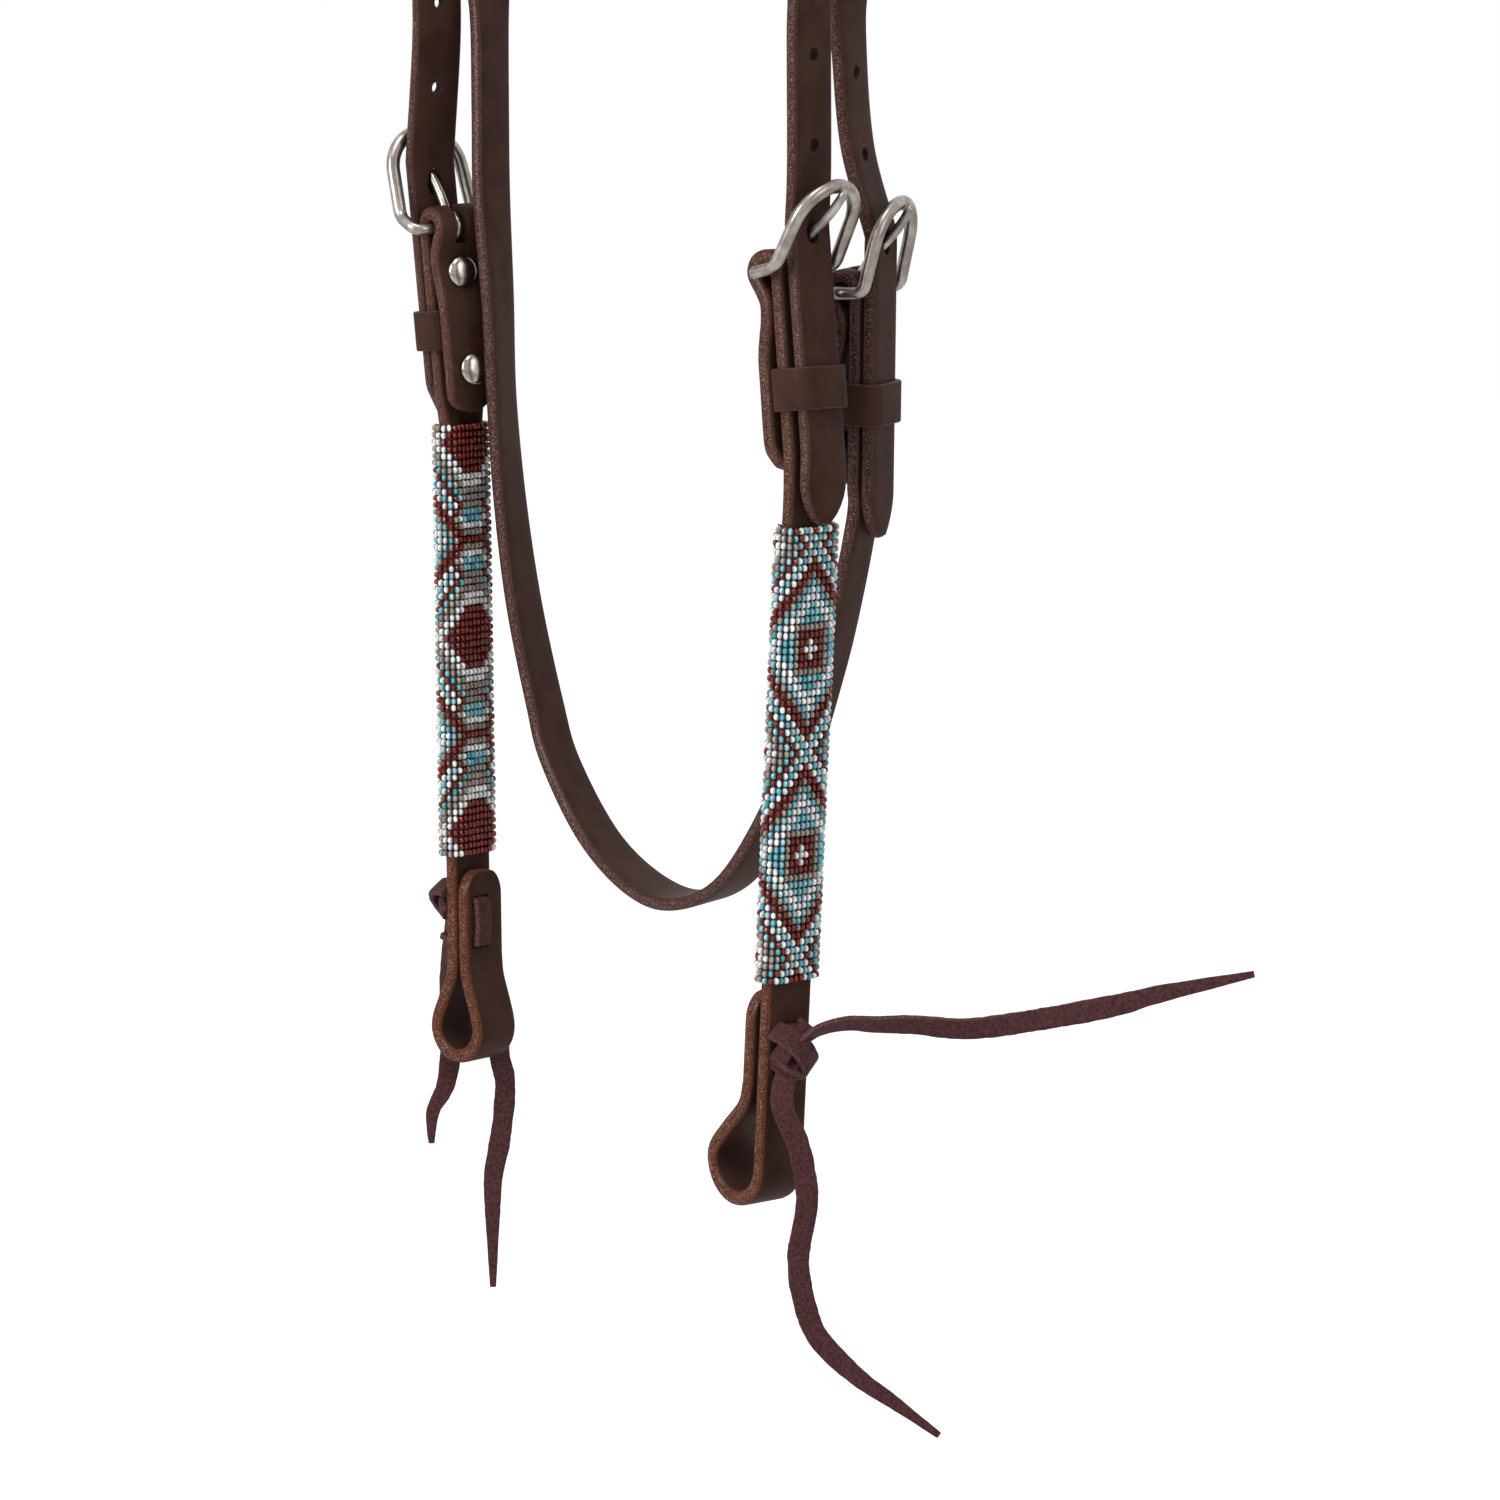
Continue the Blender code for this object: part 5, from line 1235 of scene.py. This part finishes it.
def cheek_beads(name, hang, drop, seed):
    """Beads down one cheek from a drop below its bar."""
    def section_of(row):
        level = drop + BEAD_PITCH * row
        return hang.at(level), hang.out_at(level), hang.across_at(level)
    beads(f"{name}_cheek_beads", section_of, BEAD_ROWS, seed, "headstall",
          f"{name}_beaded_sleeve")


# Laces

NEAR_TAILS = (
    ((0.0032, 0.0046, 0.0060), (0.0080, 0.0114, 0.0083), (0.0127, 0.0182, 0.0080),
     (0.0191, 0.0273, 0.0079), (0.0279, 0.0398, 0.0068), (0.0398, 0.0568, 0.0096),
     (0.0518, 0.0740, 0.0136), (0.0590, 0.0842, 0.0169), (0.0740, 0.1056, 0.0225)),
    ((0.0011, -0.0059, -0.0135), (0.0038, -0.0021, -0.0257), (0.0046, 0.0001, -0.0376),
     (0.0040, 0.0005, -0.0450), (0.0005, 0.0007, -0.0559), (0.0003, 0.0004, -0.0605),
     (0.0008, 0.0011, -0.0686), (0.0026, 0.0037, -0.0797), (0.0055, 0.0078, -0.0868),
     (0.0106, 0.0152, -0.0952), (0.0158, 0.0225, -0.1015), (0.0233, 0.0333, -0.1113)),
)
OFF_TAILS = (
    ((-0.0080, 0.0040, -0.0260), (-0.0085, 0.0050, -0.0440), (-0.0020, -0.0010, -0.0560),
     (-0.0030, -0.0050, -0.0640), (-0.0035, -0.0055, -0.0700), (-0.0035, -0.0055, -0.0745)),
    ((-0.0030, 0.0080, -0.0140), (-0.0030, 0.0145, -0.0260), (0.0000, 0.0165, -0.0390),
     (0.0030, 0.0152, -0.0487), (0.0030, 0.0171, -0.0567), (0.0030, 0.0165, -0.0667),
     (0.0030, 0.0148, -0.0767), (0.0030, 0.0127, -0.0857), (0.0030, 0.0123, -0.0957),
     (0.0030, 0.0123, -0.1207)),
)
LACE_LOOK = Vector((0.819, -0.574, 0.156))
LACE_TIP_SHARE = 0.3
LACE_FULL = 1.06
LACE_STEP = 0.0012
RAGGED = 0.05
TWIST_SHARE = 0.56              # of a tail's length, over which it untwists
TAIL_TWISTS = (78, 0)
BRIDGE_SHARE = 0.96
NEAR_KNOT = (0.0070, 0)         # thickness, and rise above the middle of the slots
OFF_KNOT = (0.0095, 0.0040)
# Wraps of each knot: (out, across, up) from the middle of its seat, and widths at both ends
NEAR_WRAPS = (
    (((-0.0006, -0.0052, 0.0062), (0.0030, -0.0036, 0.0050), (0.0056, 0.0002, 0.0014),
      (0.0050, 0.0036, -0.0030), (0.0022, 0.0052, -0.0056), (-0.0008, 0.0046, -0.0064)),
     (1.05, 1.35)),
    (((-0.0004, 0.0052, 0.0066), (0.0026, 0.0046, 0.0060), (0.0040, 0.0016, 0.0050),
      (0.0030, -0.0026, 0.0020), (0.0014, -0.0046, -0.0018), (-0.0006, -0.0050, -0.0046)),
     (1.0, 0.9)),
    (((0.0004, 0.0040, -0.0056), (0.0034, 0.0020, -0.0068), (0.0040, -0.0016, -0.0066),
      (0.0024, -0.0042, -0.0046), (0.0000, -0.0050, -0.0020)), (0.7, 0.7)),
)
OFF_WRAPS = (
    (((-0.0006, -0.0040, 0.0060), (0.0050, -0.0030, 0.0056), (0.0078, 0.0002, 0.0020),
      (0.0056, 0.0030, -0.0030), (0.0020, 0.0046, -0.0056), (-0.0008, 0.0040, -0.0064)),
     (1.15, 0.95)),
    (((-0.0004, 0.0044, 0.0060), (0.0040, 0.0040, 0.0054), (0.0056, 0.0012, 0.0040),
      (0.0040, -0.0024, 0.0010), (0.0010, -0.0040, -0.0024)), (1.0, 0.8)),
)


def lace_strip(bm, points, facing, thick, width_at, twist=0):
    """Flat lace along points, its face turned towards facing, twisted over its first part."""
    line = smooth_line(points, LACE_STEP)
    places = [point.xyz for point in line]
    stations = []
    for index, place in enumerate(places):
        tangent = run_of(places, index)
        share = index / (len(places) - 1)
        across = tangent.cross(facing(place)).normalized()
        turn = math.radians(twist) * max(0, 1 - share / TWIST_SHARE)
        across = across * math.cos(turn) + tangent.cross(across) * math.sin(turn)
        ragged = 1 + RAGGED * noise.noise(place * 900) + RAGGED * noise.noise(place * 250)
        stations.append(station(place, across, across.cross(tangent), width_at(share) * ragged))
    sweep(bm, strap_outline(LACE_WIDTH, thick), stations, blunt=(True, True))


def tail_width(share):
    """Full width to beyond the middle, then a long point."""
    return LACE_FULL * (1 - (1 - LACE_TIP_SHARE) * max(0, (share - 0.66) / 0.34) ** 1.4)


def bit_lace(name, hang, sleeve_drop, fold_gap, aside, knot_size, wraps, tails):
    """Lace: a bridge through both slots, a knot outside and two tails."""
    upper = sleeve_drop + SLEEVE_LENGTH + CHEEK_REACH + LACE_DROP
    knot_thick, knot_rise = knot_size
    face_in = -(CHEEK_THICK * 3 / 2 + fold_gap + CLEARANCE)
    face_out = CHEEK_THICK / 2 + CLEARANCE
    matrix = hang.frame_at(upper + LACE_PITCH / 2) @ Matrix.Translation((0, aside, 0))
    axes = matrix.to_3x3()
    bm = bmesh.new()
    reach = LACE_PITCH / 2
    sunk = LACE_THICK / 4
    knots = ((face_out + knot_thick / 2, reach - KNOT_ENTRY, 0), (face_out, reach, 0),
             (face_in, reach, 0), (face_in - sunk, reach - LACE_THICK / 2, 0),
             (face_in - LACE_THICK / 2, 0, 0), (face_in - sunk, LACE_THICK / 2 - reach, 0),
             (face_in, -reach, 0), (face_out, -reach, 0),
             (face_out + knot_thick / 2, KNOT_ENTRY - reach, 0))
    side = axes @ Vector((0, 1, 0))
    places = [matrix @ Vector((x, 0, z)) for x, z, level in knots]
    line = [point.xyz for point in smooth_line(places, LACE_STEP)]
    stations = [station(place, side, side.cross(run_of(line, index)), BRIDGE_SHARE)
                for index, place in enumerate(line)]
    sweep(bm, strap_outline(LACE_WIDTH, LACE_THICK), stations)
    core = matrix @ Vector((face_out, 0, knot_rise))
    heart = matrix @ Vector((face_out + knot_thick / 2, 0, knot_rise))
    for points, widths in wraps:
        route = [core + axes @ Vector(point) for point in points]

        def wrap_width(share):
            return widths[0] + (widths[1] - widths[0]) * share
        lace_strip(bm, route, lambda place: (place - core).normalized(), LACE_THICK, wrap_width)
    for points, twist in zip(tails, TAIL_TWISTS):
        route = [heart + axes @ Vector((-knot_thick / 4, 0, 0))]
        route += [heart - axes @ Vector((0, aside, 0)) + Vector(point) for point in points]
        lace_strip(bm, route, lambda place: LACE_LOOK, LACE_THICK * 0.8, tail_width, twist)
    bmesh.ops.recalc_face_normals(bm, faces=bm.faces)
    finished(f"{name}_latigo_lace", bm, LATIGO, "headstall", f"{name}_bit_lace")


# Browband

BAND_LEG_MIDDLE = CROWN_PITCH / 2
BAND_LAYER = (STRAP_THICK + CLEARANCE) / 2
BAND_SIDE = STRAP_THICK + BAND_LOOP_FIT
BAND_LEG_HALF = (CROWN_PITCH + STRAP_WIDTH) / 2 + BAND_LOOP_FIT


def leg_loop(leg, side):
    """Plan points round one crown leg, from the tip inside it to the start of the bow."""
    front = BAND_LEG_MIDDLE - BAND_LEG_HALF
    rear = BAND_LEG_MIDDLE + BAND_LEG_HALF + STRAP_THICK / 2 - BAND_SIDE
    closed = front - BAND_FLARE
    points = [(-BAND_LAYER, closed - BAND_SEAT), (-BAND_LAYER, closed - BAND_SEAT / 2),
              (-BAND_LAYER, closed), (-BAND_SIDE, front), (-BAND_SIDE, front + BAND_LEG_HALF)]
    turns = 8
    for turn in range(turns + 1):
        angle = math.pi * (1 - turn / turns)
        points.append((BAND_SIDE * math.cos(angle), rear + BAND_SIDE * math.sin(angle)))
    points += [(BAND_SIDE, front + BAND_LEG_HALF), (BAND_SIDE, front), (BAND_LAYER, closed),
               (BAND_LAYER, closed - BAND_SEAT / 2), (BAND_LAYER, closed - BAND_SEAT)]
    return [Vector((leg + side * out, y, -BAND_DROP)) for out, y in points]


def bow_point(start, end, share):
    """Point at a share of the half ellipse across the forehead."""
    angle = math.pi * share
    middle = (start.x + end.x) / 2
    half = (start.x - end.x) / 2
    return Vector((middle + half * math.cos(angle),
                   start.y - (BAND_DEPTH + start.y) * math.sin(angle), -BAND_DROP))


def browband():
    """Browband: a strap with a loop round each crown leg, its beads and its two screws."""
    near = leg_loop(NEAR_OUT, 1)
    off = leg_loop(-OFF_OUT, -1)
    start, end = near[-1], off[-1]
    bow = [bow_point(start, end, step / BOW_STEPS) for step in range(1, BOW_STEPS)]
    line = smooth_line([*near, *bow, *reversed(off)], STATION_STEP)
    places = [point.xyz for point in line]
    stations = []
    for index, place in enumerate(places):
        tangent = run_of(places, index)
        stations.append(station(place, UP, UP.cross(tangent)))
    bm = swept(strap_outline(STRAP_WIDTH, STRAP_THICK), stations, blunt=(True, True))
    seat = start.y + BAND_SEAT / 2
    face = BAND_LAYER + STRAP_THICK / 2
    for name, leg, side in (("near", NEAR_OUT, 1), ("off", -OFF_OUT, -1)):
        axes = Matrix(((-side, 0, 0), (0, 1, 0), (0, 0, 1))).to_4x4()
        matrix = Matrix.Translation((leg, seat, -BAND_DROP)) @ axes
        cutters = bmesh.new()
        screw_seat(cutters, matrix, -face * 1.5, face, face * 1.5)
        bm = carved(bm, cutters)
        screw(f"{name}_browband_screw", matrix, -face, face, "browband")
    finished("browband_leather", bm, BRIDLE, "browband", "browband_strap")
    band_beads(start, end)


def band_beads(start, end):
    """Beads round the middle of the browband's bow, in the cheeks' pattern."""
    count = BOW_FINE_STEPS
    fine = [bow_point(start, end, step / count) for step in range(count + 1)]
    walked = [0]
    for before, after in zip(fine, fine[1:]):
        walked.append(walked[-1] + (after - before).length)
    bare = round((BOW_BEAD_STEPS - 1) * (1 - BAND_SLEEVE_SHARE) / 2)
    first = walked[round((bare + 1) * count / BOW_BEAD_STEPS)]
    last = walked[round((BOW_BEAD_STEPS - 1 - bare) * count / BOW_BEAD_STEPS)]
    rows = round((last - first) / BEAD_PITCH)
    pitch = (last - first) / rows

    def section_of(row):
        target = first + pitch * row
        index = min(max(sum(1 for mark in walked if mark <= target) - 1, 0), count - 1)
        share = (target - walked[index]) / (walked[index + 1] - walked[index])
        tangent = (fine[index + 1] - fine[index]).normalized()
        return fine[index].lerp(fine[index + 1], share), UP.cross(tangent), UP
    beads("browband_beads", section_of, rows, 31, "browband", "browband_beaded_sleeve")


# Studio

def light(name, place, size, power):
    """Soft box that faces the headstall."""
    lamp = bpy.data.lights.new(name, "AREA")
    lamp.shape = "RECTANGLE"
    lamp.size, lamp.size_y = size
    lamp.energy = power
    item = bpy.data.objects.new(name, lamp)
    item.location = place
    aim = Vector(CAMERA_TARGET) - Vector(place)
    item.rotation_euler = aim.to_track_quat("-Z", "Y").to_euler()
    bpy.context.scene.collection.objects.link(item)


def studio():
    """White sweep, soft light from both sides and above, and the photograph's camera."""
    world = bpy.data.worlds.new("white_tent")
    world.use_nodes = True
    tree = world.node_tree
    wires = Wiring(tree)
    paths = wires.node("LightPath").outputs
    seen = wires.node("Math", {0: paths["Is Camera Ray"], 1: paths["Is Glossy Ray"]},
                      operation="MAXIMUM").outputs["Value"]
    seen = wires.node("Math", {0: seen, 1: paths["Is Transmission Ray"]},
                      operation="MAXIMUM").outputs["Value"]
    strength = wires.node("MapRange", {"Value": seen, "To Min": FILL_STRENGTH,
                                       "To Max": 1.0})
    sky = tree.nodes["Background"]
    sky.inputs["Color"].default_value = (1, 1, 1, 1)
    tree.links.new(strength.outputs["Result"], sky.inputs["Strength"])
    bpy.context.scene.world = world
    bm = bmesh.new()
    bmesh.ops.create_grid(bm, x_segments=1, y_segments=1, size=FLOOR_HALF,
                          matrix=Matrix.Translation((0, 0, FLOOR_LEVEL)))
    mesh = bpy.data.meshes.new("floor")
    bm.to_mesh(mesh)
    bm.free()
    material = bpy.data.materials.new("white_floor")
    material.use_nodes = True
    shader = material.node_tree.nodes["Principled BSDF"]
    shader.inputs["Base Color"].default_value = (0.9, 0.9, 0.9, 1)
    shader.inputs["Roughness"].default_value = 0.9
    wires = Wiring(material.node_tree)
    seen = wires.node("LightPath").outputs["Is Camera Ray"]
    shader.inputs["Emission Color"].default_value = (1, 1, 1, 1)
    material.node_tree.links.new(wires.times(seen, 0.5), shader.inputs["Emission Strength"])
    mesh.materials.append(material)
    floor = bpy.data.objects.new("floor", mesh)
    bpy.context.scene.collection.objects.link(floor)
    for name, place, size, power in SOFT_BOXES:
        light(name, place, size, power)
    camera = bpy.data.objects.new("camera", bpy.data.cameras.new("camera"))
    camera.data.lens = CAMERA_LENS
    camera.location = CAMERA_PLACE
    aim = Vector(CAMERA_TARGET) - Vector(CAMERA_PLACE)
    camera.rotation_euler = aim.to_track_quat("-Z", "Y").to_euler()
    bpy.context.scene.collection.objects.link(camera)
    bpy.context.scene.camera = camera
    bpy.context.scene.view_settings.view_transform = "Standard"


studio()
crown_leather()
cheek_leather("near", NEAR_HANG, NEAR_SLEEVE_DROP, NEAR_FOLD_GAP, NEAR_BIT_LOOP, 0)
cheek_leather("off", OFF_HANG, OFF_SLEEVE_DROP, OFF_FOLD_GAP, OFF_BIT_LOOP, OFF_LACE_ASIDE)
throatlatch_leather()
buckle_set("near_cheek", NEAR_HANG, NEAR_KEEPER_LOWER)
buckle_set("off_cheek", OFF_HANG, OFF_KEEPER_LOWER)
buckle_set("throat", THROAT_HANG, 0)
cheek_beads("near", NEAR_HANG, NEAR_SLEEVE_DROP, 11)
cheek_beads("off", OFF_HANG, OFF_SLEEVE_DROP, 23)
bit_lace("near", NEAR_HANG, NEAR_SLEEVE_DROP, NEAR_FOLD_GAP, 0, NEAR_KNOT, NEAR_WRAPS, NEAR_TAILS)
bit_lace("off", OFF_HANG, OFF_SLEEVE_DROP, OFF_FOLD_GAP, OFF_LACE_ASIDE, OFF_KNOT, OFF_WRAPS,
         OFF_TAILS)
browband()
